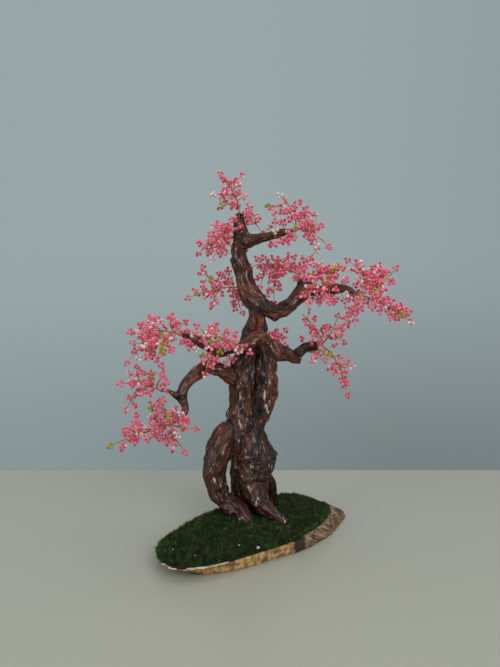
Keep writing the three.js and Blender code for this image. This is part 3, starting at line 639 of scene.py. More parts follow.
# The trunk: in three turns the skin's points are moved onto the softly joined walls. Then they go
# out by (lumps + knots + bark ridges + grain - seams) * radius / fullRelief, at most 1, and by
# the buds, each rise * exp(-(distance / width)^2).
def makeTrunk(lines, material):
    settings = trunkSettings
    piece = roughTrunk(lines)
    skin, points = joinedSkin(piece)
    for turn in range(4):
        near = [nearStem(line, points) for line in lines]
        gap, outward, gaps, weights = softGap(near)
        if turn < 3:
            points = points - np.clip(gap, -settings["mostMove"], settings["mostMove"])[:, None] * outward

    def noise(width, length, seed, layers=1):
        return flowNoise(near, weights, width, length, seed, layers)

    lumps, knots, bark, grain = (
        noise(*settings[name][:2], seed, layers)
        for name, seed, layers in (("lumps", 3, 1), ("knots", 7, 1), ("bark", 11, 2), ("grain", 23, 2)))
    crest = 1 - 2 * np.abs(bark)
    sortedGaps = np.sort(gaps, axis=0)
    seamWide, seamDeep = settings["seam"]
    seam = np.exp(-(sortedGaps[1] - sortedGaps[0]) / seamWide)
    radius = sum(weight * item["radius"] for weight, item in zip(weights, near))
    height = np.clip(radius / settings["fullRelief"], settings["leastRelief"], 1) * (
        settings["lumps"][2] * lumps + settings["knots"][2] * knots + settings["bark"][2] * (crest - 0.3)
        + settings["grain"][2] * grain - seamDeep * seam)
    for x, z, width, rise in settings["buds"]:
        height += rise * np.exp(-((points[:, 0] - x) ** 2 + (points[:, 2] - z) ** 2) / width ** 2)
    points = points + outward * height[:, None]
    points[:, 2] = np.maximum(points[:, 2], settings["footLevel"])
    skin.vertices.foreach_set("co", (points * mm).astype(np.float32).ravel())

    frayed = 0.5 * noise(0.9, 5, 71)
    # Pale flecks on the crests: worn paint, and painted glints on the ridges.
    flecks = smooth(0.5, 0.8, noise(1.7, 8, 61) + 0.22 * crest) * smooth(0.1, 0.6, crest)
    # Furrows between the bark ridges, which get painted shade.
    furrowShade = smooth(0.1, -0.8, crest + 0.3 * grain + 0.5 * knots)
    flow = np.stack([flowPlace(item, 0.2) for item in near])
    # Masks of the marks: pale worn paint with painted glints, rust with a painted highlight, painted shadow,
    # and painted sheen.
    pale, rustAndHighlight, dark, sheenMask = (
        markMask(points, outward, marks, frayed * blur)
        for marks, blur in ((paleStreaks, 1), (rustAndHighlightMarks, 3), (shadowMarks, 3), (sheenMarks, 2)))
    setValues(skin, {
        "tone": np.clip(0.5 + 0.5 * noise(5, 26, 41, 3), 0, 1),
        # painted shade: seams, furrows and the shadow marks, which the material makes near black
        "creaseShade": np.clip(seam + 0.8 * furrowShade + 0.7 * dark, 0, 1),
        "pale": np.clip(0.4 * flecks + pale, 0, 1), "crest": smooth(-0.2, 0.6, crest + 0.7 * knots),
        "rustAndHighlight": np.clip(smooth(0.35, 0.8, noise(6, 16, 83, 2)) + rustAndHighlight, 0, 1),
        "sheen": sheenMask, "flow": flow[np.argmax(weights, axis=0), np.arange(len(points))],
    })
    skin.materials.append(material)
    skin.polygons.foreach_set("use_smooth", np.ones(len(skin.polygons), bool))
    skin.update()
    rough, piece.data = piece.data, skin
    bpy.data.meshes.remove(rough)
    skin.name = "trunk_body"
    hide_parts("trunk")
    report(f"trunk: {len(skin.polygons)} faces")


def barkMaterial():
    look = Look("varnishedBark", Coat_Weight=0.24, Coat_Roughness=0.14, Specular_IOR_Level=0.2)
    redBrown, darkBrown, rustAndHighlightColour, creaseShade, pale, sheen, foot = (trunkSettings[key] for key in (
        "redBrown", "darkBrown", "rustAndHighlight", "creaseShade", "pale", "sheen", "darkFoot"))
    flow = look.read("flow", "Vector")
    colour = look.mix(look.mapped(look.read("tone"), 0.36, 0.64), darkBrown, redBrown)
    colour = look.patched(colour, [(0.5, 5, 0.52, 0.1, 0.6, darkBrown)], flow)
    fine = look.grouped(patchesGroup, flow, "Height", Scale=0.9, Detail=5)
    # Rust-red patches, with a painted highlight on the fold.
    rustAndHighlight = look.math("MULTIPLY", look.read("rustAndHighlight"), look.mapped(fine, 0.35, 0.6), clamp=True)
    rustAndHighlight = look.math("ADD", rustAndHighlight, look.times(look.patches(0.33, 4, 0.56, 0.09, flow), 0.5), clamp=True)
    colour = look.mix(look.times(rustAndHighlight, 0.8), colour, rustAndHighlightColour)
    # Painted sheen: a grey-blue reflection laid into the colour.
    colour = look.mix(look.times(look.read("sheen"), 0.6), colour, sheen)
    low, high = (level * mm for level in foot)
    colour = look.mix(look.mapped(look.parts(look.place)[2], low, high, 0.6, 0), colour, darkBrown)
    # Painted shade in the creases, seams and furrows.
    colour = look.mix(look.read("creaseShade"), colour, creaseShade)
    # Pale flecks on the crests and the pale marks: worn paint, and painted glints.
    flecks = look.times(look.patches(1.1, 2, 0.69, 0.03, flow), look.read("crest"))
    worn = look.times(look.read("pale"), look.patches(0.8, 3, 0.54, 0.04, flow))
    colour = look.mix(look.math("ADD", worn, flecks, clamp=True), colour, pale)
    return look.finish(colour, 0.9, 5, 0.5, (0.25, 0.5), flow)


# The sprays

spraySettings = {
    "bundleReach": 4, "tipLoopReach": 5, "elbow": (0.22, 0.28, 0.06), "wireStep": 1.5, "woodStep": 2.5,
    # main loops
    "loopSpacing": 5, "firstLoop": 5, "stalkLength": 3.2, "stalkVariety": (0.85, 0.6),
    "turnPerLoop": 2.4, "tipLean": 9, "sideLean": 0.75, "loopClear": 4.9, "otherLoopClear": 6.4,
    "wireClear": 2.6, "otherWireClear": 4, "woodClear": 3.5,
    # finer loops, where a pair is the least of something and what a draw adds to it
    "finerEnds": 2.0, "tries": 7, "finerStalk": (1.6, 3.2), "finerLean": (0.2, 0.9),
    "closeStalk": (1.5, 2.6), "closeSunk": 0.8,
    "beadApart": 2.15, "beadOffWire": 1.35, "beadOffWood": 1.5,
    # beads and wires
    "beadRing": 1.64, "beadTurns": 8, "beadTilt": 0.09, "beadSize": (0.98, 1.09), "beadHeight": (0.92, 1.02),
    "otherSize": 1.04, "creamShare": 0.17, "creamLoops": 0.03, "greenLoops": 0.006,
    "frontPull": 0.12,    # how much rather a coloured loop is one in front
    "strandRadius": 0.19, "stalkStrand": 0.16, "stalkTwist": (0.15, 1.9, 2), "threadRadius": 0.13,
    "twigPitch": 4.2, "twigWidths": (0.42, 0.27, 0.2), "twigStep": 0.62, "twigEnd": 0.6,
    # the bundle: half width, narrowing, pitch and strands, where it narrows and where it starts
    "bundle": (0.52, 0.1, 9, 6), "bundleNarrows": (1, 4.6), "bundleStart": -3, "bundleStep": 0.6,
    "bundleStrand": 1.1,
}

# Gaps among the sprays that the finer loops leave open, seen from the front: [x, z, radius].
openPlaces = [[-61, 100, 5.5], [-53, 101, 5]]

# Where each spray leaves the wood, which way, and the tips of its twigs. A twig is [x, y, z]
# from the root, or [x, y, z, twig, share] from that share of an earlier twig. The finer loops
# between the main ones are tried at each distance "apart".
sprays = {
    "crown_leader": {
        "root": [-11, 14, 224], "out": [0, 0, 1], "apart": 2.7,
        "twigs": [[-23, 6, 251], [-10, 20, 253, 0, 0.55], [-28, 0, 236, 0, 0.35], [-26, 24, 231, 0, 0.15],
                  [-8, 10, 237, 0, 0.25]],
    },
    "crown_right": {
        "root": [-7.5, 17, 217], "out": [0.6, 0.6, 0.5], "apart": 4.2,
        "twigs": [[1, 30, 226], [6, 24, 213, 0, 0.45], [-2, 40, 234, 0, 0.6]],
    },
    "crown_left": {
        "root": [-15, 12, 201], "out": [-0.85, -0.3, 0.4], "apart": 2.5,
        "twigs": [[-37, 2, 205], [-41, 20, 198, 0, 0.45], [-18, -2, 218, 0, 0.25], [-28, 22, 218, 0, 0.4],
                  [-30, 6, 193, 0, 0.3], [-21, 38, 217, 0, 0.15]],
    },
    "back_left": {
        "root": [-7.5, 21, 173], "out": [-0.4, 0.9, 0.1], "apart": 2.6,
        "twigs": [[-48, 26, 167], [-39, 36, 188, 0, 0.5], [-33, 34, 160, 0, 0.45], [-17, 30, 162, 0, 0.2],
                  [-23, 52, 186, 0, 0.25], [-11, 44, 155, 0, 0.08]],
    },
    "upper_right": {
        "root": [25, 0, 211], "out": [0.9, -0.3, 0.2], "apart": 2.9,
        "twigs": [[49, -8, 201], [18, -6, 234], [9, 6, 230, 1, 0.45], [43, 10, 222, 0, 0.5],
                  [33, 16, 232, 0, 0.2], [18, -16, 202], [32, -22, 211, 0, 0.3]],
    },
    "back_right": {
        "root": [31, 12, 179], "out": [-0.2, 0.5, 0.8], "apart": 2.2,
        "twigs": [[-3, 40, 191], [2, 30, 174, 0, 0.6], [13, 34, 162, 0, 0.45], [24, 34, 196, 0, 0.2],
                  [17, 58, 184, 0, 0.35], [42, 8, 199]],
    },
    "right_inner": {
        "root": [46, -1, 172.8], "out": [0, 0, 1], "apart": 2.1,
        "twigs": [[31, -10, 184], [43, 10, 190, 0, 0.35], [57, -12, 187], [56, 22, 184, 2, 0.35],
                  [33, -16, 163, 0, 0.3], [48, -20, 163, 2, 0.2]],
    },
    "right_outer": {
        "root": [67, -10, 168], "out": [0.9, -0.35, -0.3], "apart": 1.9,
        "twigs": [[94, -8, 184], [102, -14, 150], [99, 8, 156, 1, 0.6], [65, 2, 192, 0, 0.15],
                  [84, 14, 188, 0, 0.45], [76, -28, 161, 1, 0.35], [54, -14, 142], [62, -20, 152, 6, 0.45],
                  [81, 26, 180, 0, 0.25], [81, -26, 169, 1, 0.3]],
    },
    "right_low": {
        "root": [44, 15, 132], "out": [0.95, -0.2, 0.1], "apart": 3.2,
        "twigs": [[66, 10, 98], [31, 12, 158], [58, 6, 152], [65, 22, 136, 2, 0.35], [58, 18, 111, 0, 0.4],
                  [67, 4, 117, 0, 0.55], [49, 32, 142, 1, 0.3], [41, 0, 122, 0, 0.1]],
    },
    "back_small": {
        "root": [9.5, 18, 132], "out": [0.5, 0.85, 0.1], "apart": 2.6,
        "twigs": [[23, 30, 142], [16, 44, 139, 0, 0.3], [21, 46, 130, 0, 0.4]],
    },
    "left_outer": {
        "root": [-48, -14, 141], "out": [-0.85, -0.3, 0.3], "apart": 2.1,
        "twigs": [[-82, -16, 144], [-83, -20, 125, 0, 0.35], [-72, 2, 152, 0, 0.4], [-55, -28, 153, 0, 0.1],
                  [-48, -4, 151], [-61, -24, 121, 1, 0.35], [-70, -42, 137, 0, 0.45], [-72, 8, 128, 1, 0.2],
                  [-52, -40, 133, 1, 0.15]],
    },
    "left_inner": {
        "root": [-28, -5.2, 131.6], "out": [0, -0.6, 0.8], "apart": 2.5,
        "twigs": [[-38, -12, 148], [-27, 6, 148, 0, 0.35], [-15, -14, 143], [-3, -22, 132, 2, 0.35],
                  [-33, -20, 116], [-32, -28, 137, 0, 0.25]],
    },
    "left_mid": {
        "root": [-62, -16, 105], "out": [-0.9, -0.2, 0.3], "apart": 2.6,
        "twigs": [[-88, -20, 111], [-85, -18, 94, 0, 0.45], [-81, -6, 119, 0, 0.5], [-60, -26, 116],
                  [-72, 4, 115, 0, 0.2], [-67, -36, 107, 0, 0.3]],
    },
    "left_low": {
        "root": [-54, -13, 83], "out": [-0.85, -0.25, -0.45], "apart": 2.8,
        "twigs": [[-95, -16, 69], [-75, -30, 78, 0, 0.4], [-82, -2, 85, 0, 0.5], [-61, -20, 99],
                  [-40, -20, 80], [-48, -12, 63], [-69, 12, 94, 0, 0.15], [-80, -34, 84, 0, 0.55],
                  [-46, -30, 91, 3, 0.3], [-69, 4, 70, 5, 0.3]],
    },
}

# Loops that sit close to the wood: (stem, first and last share of its length, places tried).
closeLoops = {
    "crown_leader": ("mainStem", 0.955, 0.995, 12), "crown_left": ("mainStem", 0.86, 0.95, 10),
    "upper_right": ("topBranch", 0.55, 0.98, 22), "right_inner": ("rightBranch", 0.52, 0.76, 40),
    "right_outer": ("rightBranch", 0.74, 0.99, 36), "right_low": ("lowFork", 0.6, 0.98, 10),
    "left_outer": ("foldedStem", 0.95, 0.995, 22), "left_inner": ("foldedStem", 0.78, 0.89, 22),
    "left_mid": ("archFork", 0.8, 0.98, 6), "left_low": ("archBranch", 0.90, 0.99, 16),
    "back_right": ("rightStub", 0.4, 0.98, 14),
}

# Places of green leaves and of cream loops, seen from the front: [x, z].
leafPlaces = [
    [-22, 226], [25, 210], [-40, 170], [-32, 181], [43, 176], [52, 182], [76, 171], [97, 155], [49, 127],
    [-60, 141], [-58, 136], [-59, 132], [-28, 137], [-25, 138], [-22, 132], [-33, 130], [-64, 114],
    [-73, 89], [-57, 90], [-95, 69],
]
creamPlaces = [
    [18, 234], [13, 211], [40, 196], [-26, 232], [-68, 134], [-71, 137], [-32, 142], [-48, 70],
    [-76, 128], [-50, 93], [47, 192], [61, 169], [-41, 128],
]


# A twig leaves along its parent and then turns towards its tip, arching a little upward.
def twigCurves(spray):
    out = unit(np.array(spray["out"], float))
    leaveShare, chordShare, rise = spraySettings["elbow"]
    curves = []
    for twig in spray["twigs"]:
        tip = np.array(twig[:3], float)
        if len(twig) > 3:
            parent = curves[twig[3]]
            start, leave, _ = (item[0] for item in along(parent, twig[4] * parent["length"]))
        else:
            start, leave = np.array(spray["root"]) + out * spraySettings["bundleReach"] / 2, out
        chord = tip - start
        tip = tip - chord * spraySettings["tipLoopReach"] / np.linalg.norm(chord)
        chord = tip - start
        length = np.linalg.norm(chord)
        elbow = start + leave * leaveShare * length + chord * chordShare + np.array([0, 0, rise * length])
        curves.append(measured(bezierThrough(start, elbow, tip)))
    return curves


# A loop at the end of its stalk, with its three beads, the first at the far end.
def loopFrom(start, centre, stalk, facing):
    across = np.cross(unit(facing - stalk * (facing @ stalk)), stalk)
    angles = np.array([0, 2, -2])[:, None] * np.pi / 3
    radial = np.cos(angles) * stalk + np.sin(angles) * across
    return {"start": start, "centre": centre, "stalk": stalk, "across": across, "radial": radial,
            "beads": centre + spraySettings["beadRing"] * radial,
            "tangents": np.cos(angles) * across - np.sin(angles) * stalk}


# A loop whose stalk turns round a twig with the azimuth and leans along it.
def loopAt(curve, distance, azimuth, lean, reach, facing):
    start, tangent, _ = (item[0] for item in along(curve, distance))
    side = unit(np.array([-tangent[1], tangent[0], 0]))
    rise = np.cross(tangent, side)
    stalk = unit(side * math.cos(azimuth) + rise * math.sin(azimuth) + tangent * lean)
    return loopFrom(start, start + stalk * reach, stalk, facing)


# The loops of a twig from its tip inward, one every few millimetres.
def mainLoops(curve, seed):
    length, spacing = curve["length"], spraySettings["loopSpacing"]
    shortest, added = spraySettings["stalkVariety"]
    loops, k = [], 0
    while k == 0 or length - k * spacing > spraySettings["firstLoop"]:
        draw = drawsFrom(seed * 97 + k + 1)
        reach = spraySettings["stalkLength"] * (shortest + added * next(draw)) + spraySettings["beadRing"]
        facing = np.array([next(draw) - 0.5, 0.6, next(draw) - 0.5])
        lean = spraySettings["tipLean"] if k == 0 else spraySettings["sideLean"]
        azimuth = spraySettings["turnPerLoop"] * k + seed
        if k % 3 != 1 and k != 5:
            loops.append(loopAt(curve, length - k * spacing, azimuth, lean, reach, facing))
        k += 1
    return loops


# Points along every stem with their radii, to keep the loops off the wood.
def woodPoints():
    centres, radii = [], []
    for points in stems.values():
        curve = stemCurve(points)
        steps = math.ceil(curve["length"] / spraySettings["woodStep"])
        centre, _, t = along(curve, np.linspace(0, curve["length"], steps + 1))
        centres.append(centre)
        radii.append(stemRadius(points, t))
    return np.concatenate(centres), np.concatenate(radii)


# Main loops: each keeps clear of the loops before it, of the wood and of all wires but its own.
def growMain(grown, taken):
    settings = spraySettings
    centres, owners = np.zeros((0, 3)), np.zeros(0, int)
    for s, one in enumerate(grown):
        own = taken["owners"][:, 0] == s
        clear = np.where(own, settings["wireClear"], settings["otherWireClear"])
        for t, curve in enumerate(one["curves"]):
            other = ~(own & (taken["owners"][:, 1] == t))
            for loop in mainLoops(curve, one["seed"] + t):
                away, offWire, offWood = (
                    np.linalg.norm(points - loop["centre"], axis=1)
                    for points in (centres, taken["wires"], taken["wood"]))
                apart = np.where(owners == s, settings["loopClear"], settings["otherLoopClear"])
                if ((away < apart).any() or (offWire < clear)[other].any()
                        or (offWood - taken["radius"]).min() < settings["woodClear"]):
                    continue
                centres, owners = np.vstack([centres, loop["centre"]]), np.append(owners, s)
                one["loops"].append(loop)
    taken["beads"] = np.concatenate([loop["beads"] for one in grown for loop in one["loops"]])


# Adds a finer loop if no place is left open there, and its beads are clear of all that is taken.
def addLoop(one, loop, taken):
    across, _, up = loop["centre"]
    if any(math.hypot(across - x, up - z) < radius for x, z, radius in openPlaces):
        return False
    wood = "wood", taken["radius"][:, None], "beadOffWood"
    for points, radius, clear in (("beads", 0, "beadApart"), ("wires", 0, "beadOffWire"), wood):
        gaps = np.linalg.norm(taken[points][:, None] - loop["beads"], axis=2) - radius
        if gaps.min() < spraySettings[clear]:
            return False
    taken["beads"] = np.vstack([taken["beads"], loop["beads"]])
    one["loops"].append(loop)
    return True


# Finer loops all along the twigs, each with a few tries at a place that is clear.
def growFiner(grown, taken):
    settings = spraySettings
    (shortest, longer), (upright, leaning) = settings["finerStalk"], settings["finerLean"]
    for one in grown:
        for t, curve in enumerate(one["curves"]):
            draw = drawsFrom(one["seed"] * 31 + t * 7 + 5)
            distance = settings["finerEnds"]
            while distance < curve["length"] - settings["finerEnds"]:
                for attempt in range(settings["tries"]):
                    azimuth = 2 * np.pi * next(draw)
                    reach = settings["beadRing"] + shortest + longer * next(draw)
                    facing = np.array([next(draw) - 0.5, next(draw) - 0.2, next(draw) - 0.5])
                    lean = upright + leaning * next(draw)
                    if addLoop(one, loopAt(curve, distance, azimuth, lean, reach, facing), taken):
                        break
                distance += one["spray"]["apart"]


# Finer loops on short stalks of their own, close round the ends of the branches.
def growClose(grown, taken, lines):
    shortest, longer = spraySettings["closeStalk"]
    for name, (stem, first, last, tries) in closeLoops.items():
        one = next(one for one in grown if one["name"] == name)
        line = lines[stem]
        draw = drawsFrom(one["seed"] * 13 + 9)
        for attempt in range(tries):
            i = int((first + (last - first) * next(draw)) * (len(line["distance"]) - 1))
            centre, radius = line["centre"][i], line["radius"][i]
            azimuth = 2 * np.pi * next(draw)
            stalk = line["normal"][i] * math.cos(azimuth) + line["binormal"][i] * math.sin(azimuth)
            stalk = unit(stalk + line["tangent"][i] * (next(draw) - 0.4))
            reach = radius + spraySettings["beadRing"] + shortest + longer * next(draw)
            facing = np.array([next(draw) - 0.5, -0.6, next(draw) - 0.5])
            start = centre + stalk * (radius - spraySettings["closeSunk"])
            addLoop(one, loopFrom(start, centre + stalk * reach, stalk, facing), taken)


def growSprays(lines):
    grown, wires, owners = [], [], []
    for s, (name, spray) in enumerate(sprays.items()):
        curves = twigCurves(spray)
        for t, curve in enumerate(curves):
            steps = math.ceil(curve["length"] / spraySettings["wireStep"])
            wires.append(curve["shape"](np.linspace(0, 1, steps + 1)))
            owners.append(np.tile([s, t], (steps + 1, 1)))
        grown.append({"name": name, "spray": spray, "curves": curves, "loops": [], "seed": 100 * (s + 1)})
    wood, radius = woodPoints()
    taken = {"wires": np.concatenate(wires), "owners": np.concatenate(owners), "wood": wood, "radius": radius}
    growMain(grown, taken)
    mainCount = len(taken["beads"]) // 3
    growFiner(grown, taken)
    growClose(grown, taken, lines)
    report(f"sprays: {mainCount} main loops and {len(taken['beads']) // 3 - mainCount} more")
    return grown


# Gives every bead its colour: 0 pink, 1 cream, 2 green.
def colourLoops(grown):
    rng = np.random.default_rng(7)
    loops = [loop for one in grown for loop in one["loops"]]
    centres = np.array([loop["centre"] for loop in loops])
    for loop in loops:
        loop["colours"] = np.zeros(3, int)
        if rng.random() < spraySettings["creamShare"]:
            loop["colours"][rng.integers(3)] = 1
        if rng.random() < spraySettings["creamLoops"]:
            loop["colours"][:2] = 1
    # Each place colours the loop nearest to it.
    for places, colour in ((creamPlaces, 1), (leafPlaces, 2)):
        for x, z in places:
            away = np.hypot(centres[:, 0] - x, centres[:, 2] - z)
            away += spraySettings["frontPull"] * centres[:, 1]
            loops[int(np.argmin(away))]["colours"][:] = colour
    for loop in loops:
        if (loop["colours"] != 2).all() and rng.random() < spraySettings["greenLoops"]:
            loop["colours"][:] = 2


beadProfile = np.array([    # distance from the hole's axis and place along it, round the section
    [1.14, -0.30], [1.14, 0.30], [0.93, 0.74], [0.60, 0.84], [0.44, 0.55],
    [0.44, -0.55], [0.60, -0.84], [0.93, -0.74],
])
liningRows = (3, 4, 5)      # the faces of the flared hole


# Beads on their loops: the profile is turned round the axis of the hole, which runs along the
# loop's circle, so a corner is centre + r (cos a facing + sin a radial) + z tangent.
def beadMesh(gathered, loops, colour, rng):
    settings = spraySettings
    chosen = [(loop, i) for loop in loops for i in range(3) if loop["colours"][i] == colour]
    count = len(chosen)
    if not count:
        return 0
    centre, radial, tangent = (
        np.array([loop[key][i] for loop, i in chosen]) for key in ("beads", "radial", "tangents"))
    tangent = unit(tangent + rng.normal(0, settings["beadTilt"], (count, 3)))
    radial = unit(radial - tangent * (radial * tangent).sum(1, keepdims=True))
    facing = np.cross(radial, tangent)
    size = rng.uniform(*settings["beadSize"], (count, 1, 1, 1)) * (settings["otherSize"] if colour else 1)
    wide, high = beadProfile.T[:, None, :, None, None]
    high = high * rng.uniform(*settings["beadHeight"], (count, 1, 1, 1))
    angle = roundTurn(settings["beadTurns"])[:, None]
    ring = np.cos(angle) * facing[:, None, None] + np.sin(angle) * radial[:, None, None]
    points = centre[:, None, None] + size * (wide * ring + high * tangent[:, None, None])
    corners = len(beadProfile) * len(angle)
    faces = gridFaces(len(beadProfile), len(angle), closed=True)
    gathered.add(points.reshape(-1, 3), repeated(faces, corners, count),
                 tint=np.repeat(rng.random(count), corners))
    return count


# Which faces of a run of beads are the lined hole, in the order that gridFaces gives them.
def liningMask(count):
    rows = np.isin(np.arange(len(beadProfile)), liningRows)
    return np.tile(np.repeat(rows, spraySettings["beadTurns"]), count).astype(int)


# Strands twisted round a path: each runs at a distance from it that turns once in every pitch.
def twisted(path, distance, offset, pitch, strands):
    side, rise = squareTo(path)
    offset = np.asarray(offset)[..., None]
    for k in range(strands):
        turn = (2 * np.pi * distance / pitch + 2 * np.pi * k / strands)[..., None]
        yield path + offset * (np.cos(turn) * side + np.sin(turn) * rise)


# The bundle at a spray's root, its twigs, which thin towards their tips, and its loops' wires:
# twisted stalks, and circles of centre + ring (cos a stalk + sin a across).
def wireMesh(gathered, one):
    settings = spraySettings
    strand, ring = settings["strandRadius"], settings["beadRing"]
    root, out = np.array(one["spray"]["root"]), unit(np.array(one["spray"]["out"], float))
    step = settings["bundleStep"]
    distance = np.arange(settings["bundleStart"], settings["bundleReach"] + step, step)
    wide, narrowing, *twist = settings["bundle"]
    offset = wide - narrowing * smooth(*settings["bundleNarrows"], distance)
    for line in twisted(root + distance[:, None] * out, distance, offset, *twist):
        gathered.add(*tubesAlong(line[None], strand * settings["bundleStrand"], 5))
    atRoot, atFork, atTip = settings["twigWidths"]
    for twig, curve in zip(one["spray"]["twigs"], one["curves"]):
        forked = len(twig) > 3
        length = curve["length"]
        steps = max(6, int(length / settings["twigStep"]))
        distance = np.linspace(0, length + settings["twigEnd"], steps)
        path, tangent, _ = along(curve, np.minimum(distance, length))
        path = path + tangent * np.maximum(0, distance - length)[:, None]
        share = distance / distance[-1]
        offset = (atFork if forked else atRoot) * (1 - share) + atTip * share
        for line in twisted(path, distance, offset, settings["twigPitch"], 3 if forked else 4):
            gathered.add(*tubesAlong(line[None], strand, 4))
    start, centre, stalk, across = (np.array([loop[key] for loop in one["loops"]])[:, None]
                                    for key in ("start", "centre", "stalk", "across"))
    way = centre - stalk * ring - start
    share = np.linspace(0, 1, 8)
    wide, *twist = settings["stalkTwist"]
    for line in twisted(start + way * share[:, None], np.linalg.norm(way, axis=-1) * share, wide, *twist):
        gathered.add(*tubesAlong(line, settings["stalkStrand"], 3))
    angle = np.pi + 2 * np.pi * np.linspace(0.01, 0.99, 11)[:, None]
    circle = centre + ring * (np.cos(angle) * stalk + np.sin(angle) * across)
    gathered.add(*tubesAlong(circle, settings["threadRadius"], 3))


def makeSprays(grown, copper, glasses):
    rng = np.random.default_rng(11)
    beads = 0
    for one in grown:
        node = "spray_" + one["name"]
        wires = Gathered()
        wireMesh(wires, one)
        piece = wires.piece(one["name"] + "_wires", [copper])
        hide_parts(node)
        for colour, (label, slotName, *materials) in enumerate(glasses):
            gathered = Gathered()
            count = beadMesh(gathered, one["loops"], colour, rng)
            if not count:
                continue
            beads += count
            lined = liningMask(count) if len(materials) > 1 else None
            piece = gathered.piece(one["name"] + "_" + label, materials, lined)
            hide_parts(node)
    report(f"sprays: {beads} beads")


def copperMaterial():
    look = Look("copperWire", Metallic=0.6)
    colour = look.patched((0.50, 0.17, 0.065), [(260, 3, 0.52, 0.14, 1, (0.82, 0.36, 0.17))])
    return look.finish(colour, 2600, 2, 0.02, (0.28, 0.5))


# A bead of clear glass over a coloured lining: the lining shows through its middle, and its edge
# is painted paler where it turns from the camera, for the clear glass and the light it catches. The
# faint emission is a painted glow, which stands in for the light that comes through it from behind.
def beadMaterial(name, middle, deeper, edge):
    look = Look(name, Roughness=0.2, IOR=1.5, Subsurface_Weight=0.8, Subsurface_Scale=1.4 * mm,
                Subsurface_Radius=(1.0, 0.45, 0.5), Emission_Strength=0.12)
    tint = look.read("tint")
    colour = look.mix(look.mapped(tint, 0.3, 0.7), deeper, middle)
    colour = look.mix(look.mapped(tint, 0.8, 0.95, 0.0, 0.7), colour, edge)
    colour = look.patched(colour, [(700, 2, 0.5, 0.2, 0.3, edge)])
    # Painted paler edge, by where the camera looks: the clear glass and the light it catches.
    rim = look.add("LayerWeight", {"Blend": 0.5}).outputs["Facing"]
    colour = look.mix(look.mapped(rim, 0.4, 0.85), colour, edge)
    look.fill(look.shader["Base Color"], colour)
    # Painted glow: the emission stands in for light that comes through the bead.
    look.fill(look.shader["Emission Color"], colour)
    return look.material


def liningMaterial(name, pale, deep):
    look = Look(name, Roughness=0.4)
    colour = look.patched(look.mix(look.read("tint"), pale, deep), [(700, 2, 0.5, 0.2, 0.25, pale)])
    look.fill(look.shader["Base Color"], colour)
    return look.material


def creamMaterial():
    look = Look("creamPearl", Subsurface_Weight=0.25, Subsurface_Scale=0.6 * mm, Coat_Weight=0.6,
                Coat_Roughness=0.1)
    cloudy = look.patches(900, 2, 0.5, 0.2)
    colour = look.mix(look.read("tint"), (0.80, 0.71, 0.66), (0.80, 0.60, 0.58))
    look.fill(look.shader["Base Color"], look.mix(look.times(cloudy, 0.4), colour, (0.66, 0.52, 0.48)))
    look.fill(look.shader["Roughness"], look.mapped(cloudy, 0, 1, 0.25, 0.4))
    return look.material


# The slice of log

sliceSettings = {
    "length": 152, "width": 70, "thickness": 8, "turn": 43.5, "slant": 16, "centre": (1.3, -2.0),
    "sides": 420, "rows": 22, "rounding": 0.8,
    # swells of the oval as [share of its size, sharpness, angle round it]
    "swells": [[-0.07, 12, -1.95], [-0.05, 8, 3.14], [0.09, 6, 1.25], [0.03, 10, -0.45],
               [0.05, 14, 0.12], [0.05, 20, -1.5], [-0.08, 6, 2.45], [0.04, 14, -2.6]],
    "stripped": (-152, 25.6),       # bare wood: from this angle round the rim to this x
    "darkPatch": (25.4, 33),        # between these x
    "crust": (-86, 40),             # degrees round the rim: pale crust along the top of the bark
    "darkTop": 0.45,                  # most of it on the bare wood
    "crumbled": 0.9,                # height of the bark's crumbling top at the right end
    "noiseOval": (76, 60),          # half sizes of the oval that its noise is taken from
    "frayed": (4, 0.25),            # how far the ends of bare wood wander, in degrees and its share in x
    # how far the face lies in: bark's mean, its plates and cracks, and bare wood's mean and noise
    "rough": (0.6, 0.45, 0.5), "worn": (0.75, 0.18),
}


# Sum of swells [amount, sharpness, middle]: amount * exp(sharpness * (cos(angle - middle) - 1)).
def swelled(angle, swells):
    return sum(amount * np.exp(sharpness * (np.cos(angle - middle) - 1))
               for amount, sharpness, middle in swells)


# Outline of the slice at an angle: (length / 2 * uneven - inset) * cos and (width / 2 * uneven -
# inset) * sin, where uneven is 1 + waves + swells. It is shifted along its length with height by
# the oblique cut, and then turned.
def outline(angle, scale, inset, height):
    length, width, thickness, slant, centre = (
        sliceSettings[key] for key in ("length", "width", "thickness", "slant", "centre"))
    uneven = (1 + 0.012 * np.cos(3 * angle + 0.6) + 0.008 * np.cos(7 * angle + 2)
              + 0.004 * np.cos(12 * angle + height) + swelled(angle, sliceSettings["swells"]))
    lengthwise = ((length / 2 * uneven - inset) * np.cos(angle) * scale
                  + slant * (0.5 - np.minimum(1, height / thickness)))
    across = (width / 2 * uneven - inset) * np.sin(angle) * scale
    turn = math.radians(sliceSettings["turn"])
    x = centre[0] + lengthwise * math.cos(turn) - across * math.sin(turn)
    y = centre[1] + lengthwise * math.sin(turn) + across * math.cos(turn)
    return np.stack(np.broadcast_arrays(x, y, height), axis=-1)


# The same, with every point then set to a level of its own.
def outlineAt(angle, scale, inset, height, level):
    place = outline(angle, scale, inset, height)
    place[..., 2] = level
    return place


